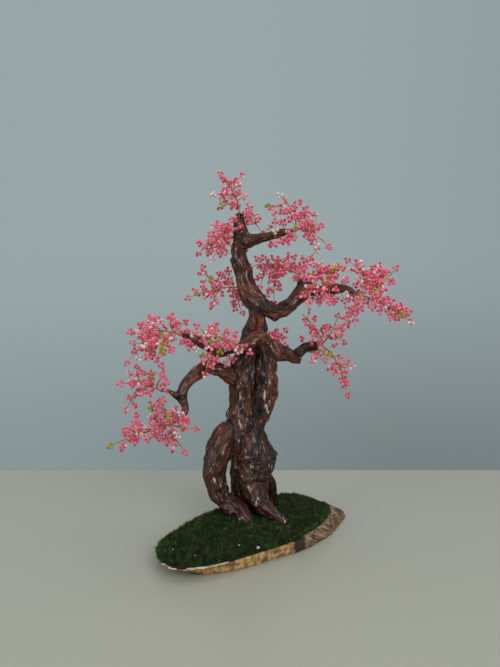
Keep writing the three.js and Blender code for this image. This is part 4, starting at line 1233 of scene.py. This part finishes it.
# The slice: the outline at rising levels, inset by bark * (1 - stripped) + worn * stripped +
# rounding * (2 level - 1)^6, with smaller rings on both faces. Bark is 0.6 - 0.45 noise + 0.5
# cracks, and worn wood 0.75 + 0.18 noise.
def makeSlice(material):
    settings = sliceSettings
    sides, rows, thickness = settings["sides"], settings["rows"], settings["thickness"]
    angle = roundTurn(sides)[None] - np.pi
    level = np.linspace(0, 1, rows)[:, None]
    halfLong, halfWide = settings["noiseOval"]
    around = np.stack(np.broadcast_arrays(
        halfLong * np.cos(angle), halfWide * np.sin(angle), level * thickness), axis=-1)

    def noise(stretch, layers, seed):
        return layeredNoise(around * stretch, layers, seed)

    wander, shareInX = settings["frayed"]
    frayed = wander * noise(0.35, 2, 5)
    degrees = np.degrees(angle) + frayed
    x, y, _ = np.moveaxis(outline(angle, 1.0, 0.5, level * thickness), -1, 0)
    x = x + shareInX * frayed
    front = smooth(10, -10, y)
    first, last = settings["stripped"]
    stripped = smooth(first - 3, first + 3, degrees) * smooth(last + 0.4, last - 0.4, x) * front
    dark = between(x, settings["darkPatch"], 0.4) * front
    cracks = 1 - smooth(0.0, 0.16, np.abs(noise((0.22, 0.22, 0.1), 2, 29)))
    mean, plates, cracked = settings["rough"]
    rough = mean - plates * noise((0.30, 0.30, 0.22), 3, 17) + cracked * cracks
    mean, grooves = settings["worn"]
    worn = mean + grooves * noise((0.12, 0.12, 0.9), 2, 31)
    inset = rough * (1 - stripped) + worn * stripped + settings["rounding"] * (2 * level - 1) ** 6
    inner = np.array([0.3, 0.6, 0.85, 0.91, 0.96, 0.985])[:, None]
    rim = outline(angle, 1.0, inset, level * thickness)
    under = outline(angle, inner, inset[:1], 0)
    above = outline(angle, inner[::-1], inset[-1:], thickness)
    crumbling = np.clip(0.2 + layeredNoise(above * (0.4, 0.4, 0), 2, 37), 0, 1) * rightEnd(angle)
    above[..., 2] += settings["crumbled"] * crumbling * (inner[::-1] > 0.9)
    points, quads, fans = closedRows(np.concatenate([under, rim, above]))

    # Values of the rim, spread over the ring of bark on both faces.
    def padded(values):
        ring = smooth(0.86, 0.90, inner)
        spread = np.concatenate([values[:1] * ring, values, values[-1:] * ring[::-1]])
        return np.append(spread, [0, 0])

    chips = noise((0.38, 0.38, 0.3), 3, 43)
    crust = between(degrees, settings["crust"], 5) * smooth(0.1, 0.5, chips + 1.1 * level - 0.75)
    # The bare wood is darker towards its top, under the moss.
    darkTop = settings["darkTop"] * stripped * smooth(0.75, 1.3, level + 0.9 * chips)
    values = {"stripped": stripped, "dark": dark, "crust": crust * (1 - dark), "darkTop": darkTop,
              "crack": cracks * (1 - stripped), "rim": np.ones((rows, sides))}
    piece = makePiece("log_slice", points, [quads, fans], [material],
                      values={key: padded(value) for key, value in values.items()})
    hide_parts("wood_slice")
    report("slice of log")


def woodMaterial():
    look = Look("barkAndWood", Specular_IOR_Level=0.3)
    upright = look.add("Mapping", {"Vector": look.place, "Scale": (1, 0.3, 0.25)}).outputs[0]
    bark = look.patched((0.085, 0.047, 0.025), [(260, 6, 0.5, 0.1, 1, (0.225, 0.127, 0.060))], upright)
    bark = look.patched(bark, [(90, 4, 0.52, 0.06, 0.75, (0.26, 0.125, 0.06)),
                               (200, 4, 0.58, 0.05, 0.6, (0.26, 0.185, 0.115))])
    bark = look.mix(look.read("crack"), bark, (0.065, 0.038, 0.022))
    bare = look.patched((0.62, 0.375, 0.16), [(520, 5, 0.52, 0.09, 1, (0.29, 0.155, 0.06))], upright)
    bare = look.patched(bare, [(190, 5, 0.58, 0.05, 0.8, (0.16, 0.09, 0.045)),
                               (130, 5, 0.62, 0.05, 0.6, (0.66, 0.50, 0.33))])
    colour = look.mix(look.read("stripped"), bark, bare)
    # Darker towards the top of the bare wood.
    colour = look.mix(look.read("darkTop"), colour, (0.17, 0.10, 0.04))
    colour = look.mix(look.read("dark"), colour, (0.045, 0.027, 0.022))
    crust = look.times(look.read("crust"), look.patches(420, 4, 0.45, 0.1))
    colour = look.mix(look.times(crust, 0.85), colour, (0.40, 0.285, 0.175))
    turn = (0, 0, -math.radians(sliceSettings["turn"]))
    turned = look.add("Mapping", {"Vector": look.place, "Rotation": turn, "Scale": (0.46, 1, 1)})
    rings = look.add("TexWave", {
        "Vector": turned.outputs[0], "Scale": 130, "Distortion": 2.5, "Detail": 3, "Detail Scale": 1.2},
        wave_type="RINGS", rings_direction="Z").outputs["Fac"]
    sawn = look.mix(rings, (0.46, 0.30, 0.16), (0.33, 0.19, 0.09))
    return look.finish(look.mix(look.read("rim"), sawn, colour), 900, 5, 0.3, (0.65, 0.9))


# The bed of plaster

plasterSettings = {
    "base": 8.02, "thickness": 0.9, "inset": 2.6, "edge": 0.6, "sides": 420,
    # how far its edge lies in: radius of the noise round it, and share of that noise
    "ragged": (20, 0.7), "swollen": (6.4, 1.4), "leaning": 0.9, "uneven": 0.25,
    "bare": [[1, 9, -2.4], [0.9, 50, -3.02]],         # how bare of moss the edge is
    # crumbs of plaster on the moss: [x, y, radius]
    "crumbs": [[-9.9, -46.2, 0.45], [3, -45, 0.85], [1.6, -46, 0.5], [-50, -51.5, 0.35],
               [-36, -60, 0.35], [22, -14, 0.35]],
    "crumbGrid": (9, 14), "crumbShape": (1.2, 1, 0.8), "crumbRough": 0.35,
}


# The bed: its edge is the outline inset by noise + 0.9 share^4, at base + share * (thickness +
# 0.25 noise) for a share of its height, and flat rings close it above and below.
def makePlaster(material):
    settings = plasterSettings
    base, thickness = settings["base"], settings["thickness"]
    angle = roundTurn(settings["sides"])[None] - np.pi
    ragged = circleNoise(angle, settings["ragged"][0], 3, 3)
    swollen = smooth(-0.1, 0.5, circleNoise(angle, settings["swollen"][0], 2, 19))
    share = np.array([0, 0.3, 0.7, 0.92, 1.0])[:, None]
    inset = (settings["inset"] * (1 - swelled(angle, settings["bare"])) + setBack(angle) + settings["edge"]
             + settings["ragged"][1] * ragged + settings["swollen"][1] * swollen
             + settings["leaning"] * share ** 4)
    inner = np.array([0.4, 0.8, 0.95])[:, None]
    top = sliceSettings["thickness"]
    points, quads, fans = closedRows(np.concatenate([
        outlineAt(angle, inner, inset[:1], top, base),
        outlineAt(angle, 1.0, inset, top, base + share * (thickness + settings["uneven"] * ragged)),
        outlineAt(angle, inner[::-1], inset[-1:], top, base + thickness)]))
    points[:, 1] = np.maximum(points[:, 1], cadBox[0][1] / mm)
    piece = makePiece("plaster_layer", points, [quads, fans], [material])
    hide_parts("plaster_bed")
    makeCrumbs(material)
    report("plaster")


# Crumbs: small rough balls, radius * (1 + 0.35 noise), that lie on the moss below them.
def makeCrumbs(material):
    ground = mossTop(roundTurn(360)[None], np.linspace(0.3, 1, 60)[:, None])[0].reshape(-1, 3)
    rows, turns = plasterSettings["crumbGrid"]
    polar, around = np.linspace(0.02, np.pi - 0.02, rows)[:, None], roundTurn(turns)[None]
    ball = np.stack(np.broadcast_arrays(
        np.sin(polar) * np.cos(around), np.sin(polar) * np.sin(around), -np.cos(polar)), axis=-1)
    gathered = Gathered()
    for i, (x, y, radius) in enumerate(plasterSettings["crumbs"]):
        under = ground[np.argmin(np.hypot(ground[:, 0] - x, ground[:, 1] - y))]
        rough = 1 + plasterSettings["crumbRough"] * layeredNoise(ball * 1.7 + 9 * i, 2, 51)[..., None]
        lump = ball * rough * radius * plasterSettings["crumbShape"]
        gathered.add(*closedRows(under + (0, 0, 0.9 + 0.3 * radius) + lump))
    piece = gathered.piece("plaster_crumbs", [material])
    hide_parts("plaster_bed")


def plasterMaterial():
    look = Look("whitePlaster", Specular_IOR_Level=0.25)
    colour = look.patched((0.68, 0.61, 0.51), [(160, 5, 0.58, 0.12, 1, (0.36, 0.29, 0.20))])
    pits = look.grouped(specksGroup, Scale=1500, Size=0.2, Amount=0.35)
    colour = look.mix(look.times(pits, 0.5), colour, (0.3, 0.26, 0.2))
    return look.finish(colour, 700, 5, 0.25, (0.75, 0.95))


# The moss

mossSettings = {
    "base": 8.0, "thickness": 6.2, "inset": 0.3, "bareInset": 0.5, "sides": 450, "rows": 62,
    "frayed": (34 / 1.8, 0.54, 0.54),                 # radius of its noise, least, and share of noise
    "rightEnd": [[1, 8, -0.1]],                       # where the mat is thin and leaves a rim of bark
    "endInset": 3.2, "endFall": 0.55,
    "setBack": [[1.8, 6, -1.4], [-2.7, 9, 2.8]],      # back from the rim, or over it where negative
    "mound": (29, 45, 14, 3.4),                       # x, y, width and height
    "clumps": (3.6, 1.1), "knots": (1.5, 0.6),        # width and height of its lumps
    "fibres": 34000, "fibreLength": (0.8, 2.2), "fibreWidth": 0.36, "edgeShare": 0.24,
    "leaning": 0.38, "bending": 0.16, "sunk": 0.35,
    "bright": (0.42, 0.42, 0.22),                     # mean, share of the clumps, and spread
    "strewn": (-3, -19, 7, 2.5),                      # straw: x, y, and half sizes
}


# Low waves of the mat: 0.6 sin(.31x+.7) sin(.27y+1.1) + 0.4 sin(.53x-.41y+2) + 0.3 cos(.72y+.33x),
# and a mound, height * exp(-(distance / width)^2).
def mossWaves(x, y):
    moundX, moundY, wide, high = mossSettings["mound"]
    mound = high * np.exp(-((x - moundX) ** 2 + (y - moundY) ** 2) / wide ** 2)
    return (0.6 * np.sin(0.31 * x + 0.7) * np.sin(0.27 * y + 1.1) + mound
            + 0.4 * np.sin(0.53 * x - 0.41 * y + 2) + 0.3 * np.cos(0.72 * y + 0.33 * x))


# How near an angle is to the right end: 1 to 0.
def rightEnd(angle):
    return swelled(angle, mossSettings["rightEnd"])


# How far the mat and the plaster stay back from the rim at an angle.
def setBack(angle):
    return mossSettings["endInset"] * rightEnd(angle) + swelled(angle, mossSettings["setBack"])


# Top of the mat at an angle and a share of the way to its edge: its thickness falls off as
# 0.35 + 0.65 (1 - share^14), with waves, clumps and knots on it.
def mossTop(angle, share):
    settings = mossSettings
    radius, least, frayed = settings["frayed"]
    inset = (settings["inset"] + settings["bareInset"] * swelled(angle, plasterSettings["bare"])
             + setBack(angle) + 0.5 * np.cos(8 * angle + 1) * np.cos(3 * angle)
             + least + frayed * circleNoise(angle, radius, 2, 45))
    place = outline(angle, share, inset, sliceSettings["thickness"])
    lift = settings["thickness"] + mossWaves(place[..., 0], place[..., 1])
    for (wide, high), seed in ((settings["clumps"], 3), (settings["knots"], 5)):
        lift = lift + high * layeredNoise(place * (1, 1, 0) / wide, 1, seed)
    fall = (0.35 + 0.65 * (1 - share ** 14)) * (1 - settings["endFall"] * rightEnd(angle) * share ** 4)
    place[..., 2] = settings["base"] + fall * lift
    return place, inset


# The mat: its top in rows from the edge inward, over a belly that stands out by 0.15 of the way
# from the foot to the edge.
def makeMoss(material):
    sides, rows, base = (mossSettings[key] for key in ("sides", "rows", "base"))
    angle = roundTurn(sides)[None] - np.pi
    top, inset = mossTop(angle, np.sqrt(np.linspace(1, 0.0004, rows))[:, None])
    under, foot = (outlineAt(angle, scale, inset, base, base + 0.03) for scale in (0.5, 0.985))
    belly = (foot + top[:1]) / 2
    belly[..., :2] = 1.15 * top[:1, :, :2] - 0.15 * foot[..., :2]
    points, quads, fans = closedRows(np.concatenate([under, foot, belly, top]))
    points[:, 1] = np.maximum(points[:, 1], cadBox[0][1] / mm)
    lowness = np.clip((points[:, 2] - base) / 7, 0, 1)
    piece = makePiece("moss_mat", points, [quads, fans], [material], values={"lightness": 0.25 * lowness})
    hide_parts("moss")
    makeFibres(material)


# Fibres of moss: narrow three-sided spikes, from place - 0.35 way to place + length (way + bend),
# that stand up from the mat in clumps, and lean out and hang in tufts along its edge.
def makeFibres(material):
    settings = mossSettings
    rng = np.random.default_rng(5)
    count = settings["fibres"]
    angle = rng.uniform(-np.pi, np.pi, count)
    share = np.sqrt(rng.random(count))
    edge = rng.random(count) < settings["edgeShare"]
    share[edge] = rng.uniform(0.972, 1.0, edge.sum())
    place, beside, outer = (mossTop(angle + turn, share + step)[0]
                            for turn, step in ((0, 0), (0.008, 0), (0, 0.4 / 60)))
    up = unit(np.cross(outer - place, beside - place))
    up = np.where(up[:, 2:] < 0, -up, up)
    flat = place * (1, 1, 0)
    clump = 0.35 * latticeNoise(flat / 4.2, 13) + 0.75 * latticeNoise(flat / 1.5, 15)
    tufted = np.clip(latticeNoise(flat / 2.0, 27) * 1.6, 0, 1) * smooth(0.94, 0.98, share)
    length = (rng.uniform(*settings["fibreLength"], count) * (1 + 0.5 * clump + 0.6 * tufted)
              * (1 - 0.5 * rightEnd(angle)))[:, None]
    lean = rng.normal(0, settings["leaning"], (count, 3))
    lean += unit((outer - place) * (1, 1, 0)) * (0.9 * smooth(0.93, 1, share))[:, None]
    lean[:, 2] -= (0.25 + 0.8 * tufted) * smooth(0.98, 1, share)
    way = unit(up + lean)
    side = unit(np.cross(way, rng.normal(0, 1, (count, 3))))
    third = np.cross(way, side)
    corners = [place - way * settings["sunk"] + settings["fibreWidth"] / 1.7 * (
        math.cos(a) * side + math.sin(a) * third) for a in roundTurn(3)]
    tip = place + (way + rng.normal(0, settings["bending"], (count, 3))) * length
    points = np.stack([*corners, tip], axis=1).reshape(-1, 3)
    points = np.clip(points, *(np.array(corner) / mm for corner in cadBox))
    mean, clumped, spread = settings["bright"]
    bright = mean + clumped * clump + rng.normal(0, spread, count)
    bright += 0.15 * smooth(0.96, 0.99, share) * (rng.random(count) < 0.5) + 0.25 * tufted
    yellow = rng.random(count) < 0.012
    x, y, long, wide = settings["strewn"]
    strewn = np.exp(-((place[:, 0] - x) / long) ** 2 - ((place[:, 1] - y) / wide) ** 2)
    straw = yellow + strewn * (rng.random(count) < 0.25)
    values = {"lightness": bright, "straw": straw}
    faces = repeated(np.array([[0, 1, 3], [1, 2, 3], [2, 0, 3], [2, 1, 0]]), 4, count)
    piece = makePiece("moss_fibres", points, [faces], [material], shaded=False,
                      values={key: np.repeat(np.clip(value, 0, 1), 4) for key, value in values.items()})
    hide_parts("moss")
    report(f"moss: {count} fibres")


def mossMaterial():
    look = Look("darkMoss", Specular_IOR_Level=0.2, Roughness=0.85)
    light = look.math("ADD", look.read("lightness"), look.times(look.patches(170, 5, 0.5, 0.18), 0.2))
    colour = look.mix(look.mapped(light, 0.25, 0.75), (0.008, 0.014, 0.004), (0.036, 0.082, 0.017))
    colour = look.mix(look.mapped(light, 0.78, 1.05), colour, (0.09, 0.20, 0.035))
    colour = look.patched(colour, [(170, 5, 0.53, 0.09, 0.65, (0.030, 0.025, 0.011))])
    colour = look.mix(look.read("straw"), colour, (0.26, 0.25, 0.07))
    return look.finish(colour, 1600, 3, 0.2)


# Floor, lights and camera

stageSettings = {
    "cameraPlace": (-0.0036, -0.391, 0.162), "cameraDrop": 3.03, "lens": 31.14, "sensor": 36,
    "tableX": (-1.0, 1.0), "tableY": (-0.6, 0.161), "tableZ": (-0.02, 0),
    "tableColour": (0.452, 0.450, 0.372), "tableDarker": 0.94,
    "wallHigh": (0.315, 0.385, 0.388), "wallHighRight": (0.285, 0.345, 0.352),
    "wallLeft": (0.240, 0.300, 0.305), "wallRight": (0.180, 0.215, 0.222),
    "ceiling": (0.86, 0.95, 1.0), "ceilingLight": 0.50, "lowLight": 0.30,
    # light: place, size and energy in watts, colour
    "lights": {
        "overhead": ((0.25, 0.1, 1.25), 1.2, 2.5, (1.0, 0.98, 0.95)),
        "window": ((0.45, -1.15, 0.75), 0.8, 9.0, (1.0, 0.98, 0.96)),
        "fillLeft": ((-1.1, -0.8, 0.6), 0.8, 4.0, (0.92, 0.97, 1.0)),
    },
    "lightTarget": (0, 0, 0.1),
}


def makeStage():
    colour = stageSettings["tableColour"]
    darker = tuple(stageSettings["tableDarker"] * part for part in colour)
    look = Look("tableTop", Specular_IOR_Level=0.35)
    soft = look.patches(6, 3, 0.5, 0.3)
    # Painted shade: the table is darker towards the right, with soft patches in it.
    shade = look.times(look.mapped(look.parts(look.place)[0], -0.05, 0.2), look.mapped(soft, 0, 1, 0.7, 1.0))
    look.fill(look.shader["Base Color"], look.mix(shade, colour, darker))
    look.fill(look.shader["Roughness"], look.mapped(soft, 0, 1, 0.30, 0.36))
    corners = [(x, y, z) for z in stageSettings["tableZ"] for y in stageSettings["tableY"]
               for x in stageSettings["tableX"]]
    faces = [(0, 2, 3, 1), (4, 5, 7, 6), (0, 1, 5, 4), (1, 3, 7, 5), (3, 2, 6, 7), (2, 0, 4, 6)]
    mesh = bpy.data.meshes.new("table_top")
    mesh.from_pydata(corners, [], faces)
    mesh.materials.append(look.material)
    table = bpy.data.objects.new("table_top", mesh)
    bpy.context.scene.collection.objects.link(table)


def makeLights():
    for name, (place, size, energy, colour) in stageSettings["lights"].items():
        light = bpy.data.lights.new(name, "AREA")
        light.shape, light.size, light.energy, light.color = "DISK", size, energy, colour
        lamp = bpy.data.objects.new(name, light)
        lamp.location = place
        x, y, z = np.array(stageSettings["lightTarget"]) - place
        lamp.rotation_euler = (math.atan2(math.hypot(x, y), -z), 0, math.atan2(y, x) - math.pi / 2)
        bpy.context.scene.collection.objects.link(lamp)


# The wall is the plain world behind the table, a little darker towards the bottom and the
# right. Everything but the camera sees soft light that comes mostly from above.
def makeWorld():
    world = bpy.data.worlds.new("wall")
    world.use_nodes = True
    nodes = Nodes(world.node_tree)
    across, _, up = nodes.parts(nodes.add("TexCoord").outputs["Generated"])
    low = nodes.mix(nodes.mapped(across, -0.4, 0.3), stageSettings["wallLeft"], stageSettings["wallRight"])
    high = nodes.mix(nodes.mapped(across, 0.0, 0.45), stageSettings["wallHigh"],
                     stageSettings["wallHighRight"])
    seen = nodes.add("Background", {"Color": nodes.mix(nodes.mapped(up, -0.30, 0.10), low, high)})
    strength = nodes.mapped(up, 0, 1, stageSettings["lowLight"], stageSettings["ceilingLight"], "LINEAR")
    given = nodes.add("Background", {"Color": stageSettings["ceiling"], "Strength": strength})
    camera = nodes.add("LightPath").outputs["Is Camera Ray"]
    mixed = nodes.add("MixShader", {0: camera, 1: given.outputs[0], 2: seen.outputs[0]})
    nodes.fill(nodes.tree.nodes["World Output"].inputs["Surface"], mixed.outputs[0])
    bpy.context.scene.world = world
    bpy.context.scene.view_settings.view_transform = "Standard"


def makeCamera():
    data = bpy.data.cameras.new("camera")
    data.lens, data.sensor_width = stageSettings["lens"], stageSettings["sensor"]
    camera = bpy.data.objects.new("camera", data)
    camera.location = stageSettings["cameraPlace"]
    camera.rotation_euler = (math.radians(90 - stageSettings["cameraDrop"]), 0, 0)
    bpy.context.scene.collection.objects.link(camera)
    bpy.context.scene.camera = camera


makeCamera()
makeStage()
makeLights()
makeWorld()
report("stage")

lines = stemLines()
makeTrunk(list(lines.values()), barkMaterial())

grown = growSprays(lines)
colourLoops(grown)
copper = copperMaterial()
makeSprays(grown, copper, (
    ("blossoms", "blossom",
     beadMaterial("pinkBead", (0.72, 0.055, 0.17), (0.58, 0.028, 0.11), (0.90, 0.38, 0.44)),
     liningMaterial("pinkLining", (0.74, 0.20, 0.29), (0.58, 0.07, 0.16))),
    ("cream_beads", "blossom_white", creamMaterial()),
    ("leaves", "leaf_green",
     beadMaterial("greenBead", (0.35, 0.31, 0.012), (0.22, 0.23, 0.01), (0.44, 0.41, 0.06)),
     liningMaterial("greenLining", (0.40, 0.40, 0.02), (0.24, 0.26, 0.01)))))
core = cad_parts["wire_core"]
core.data.materials.clear()
core.data.materials.append(copper)

makeSlice(woodMaterial())
makePlaster(plasterMaterial())
makeMoss(mossMaterial())

bpy.context.view_layer.update()
report("done")
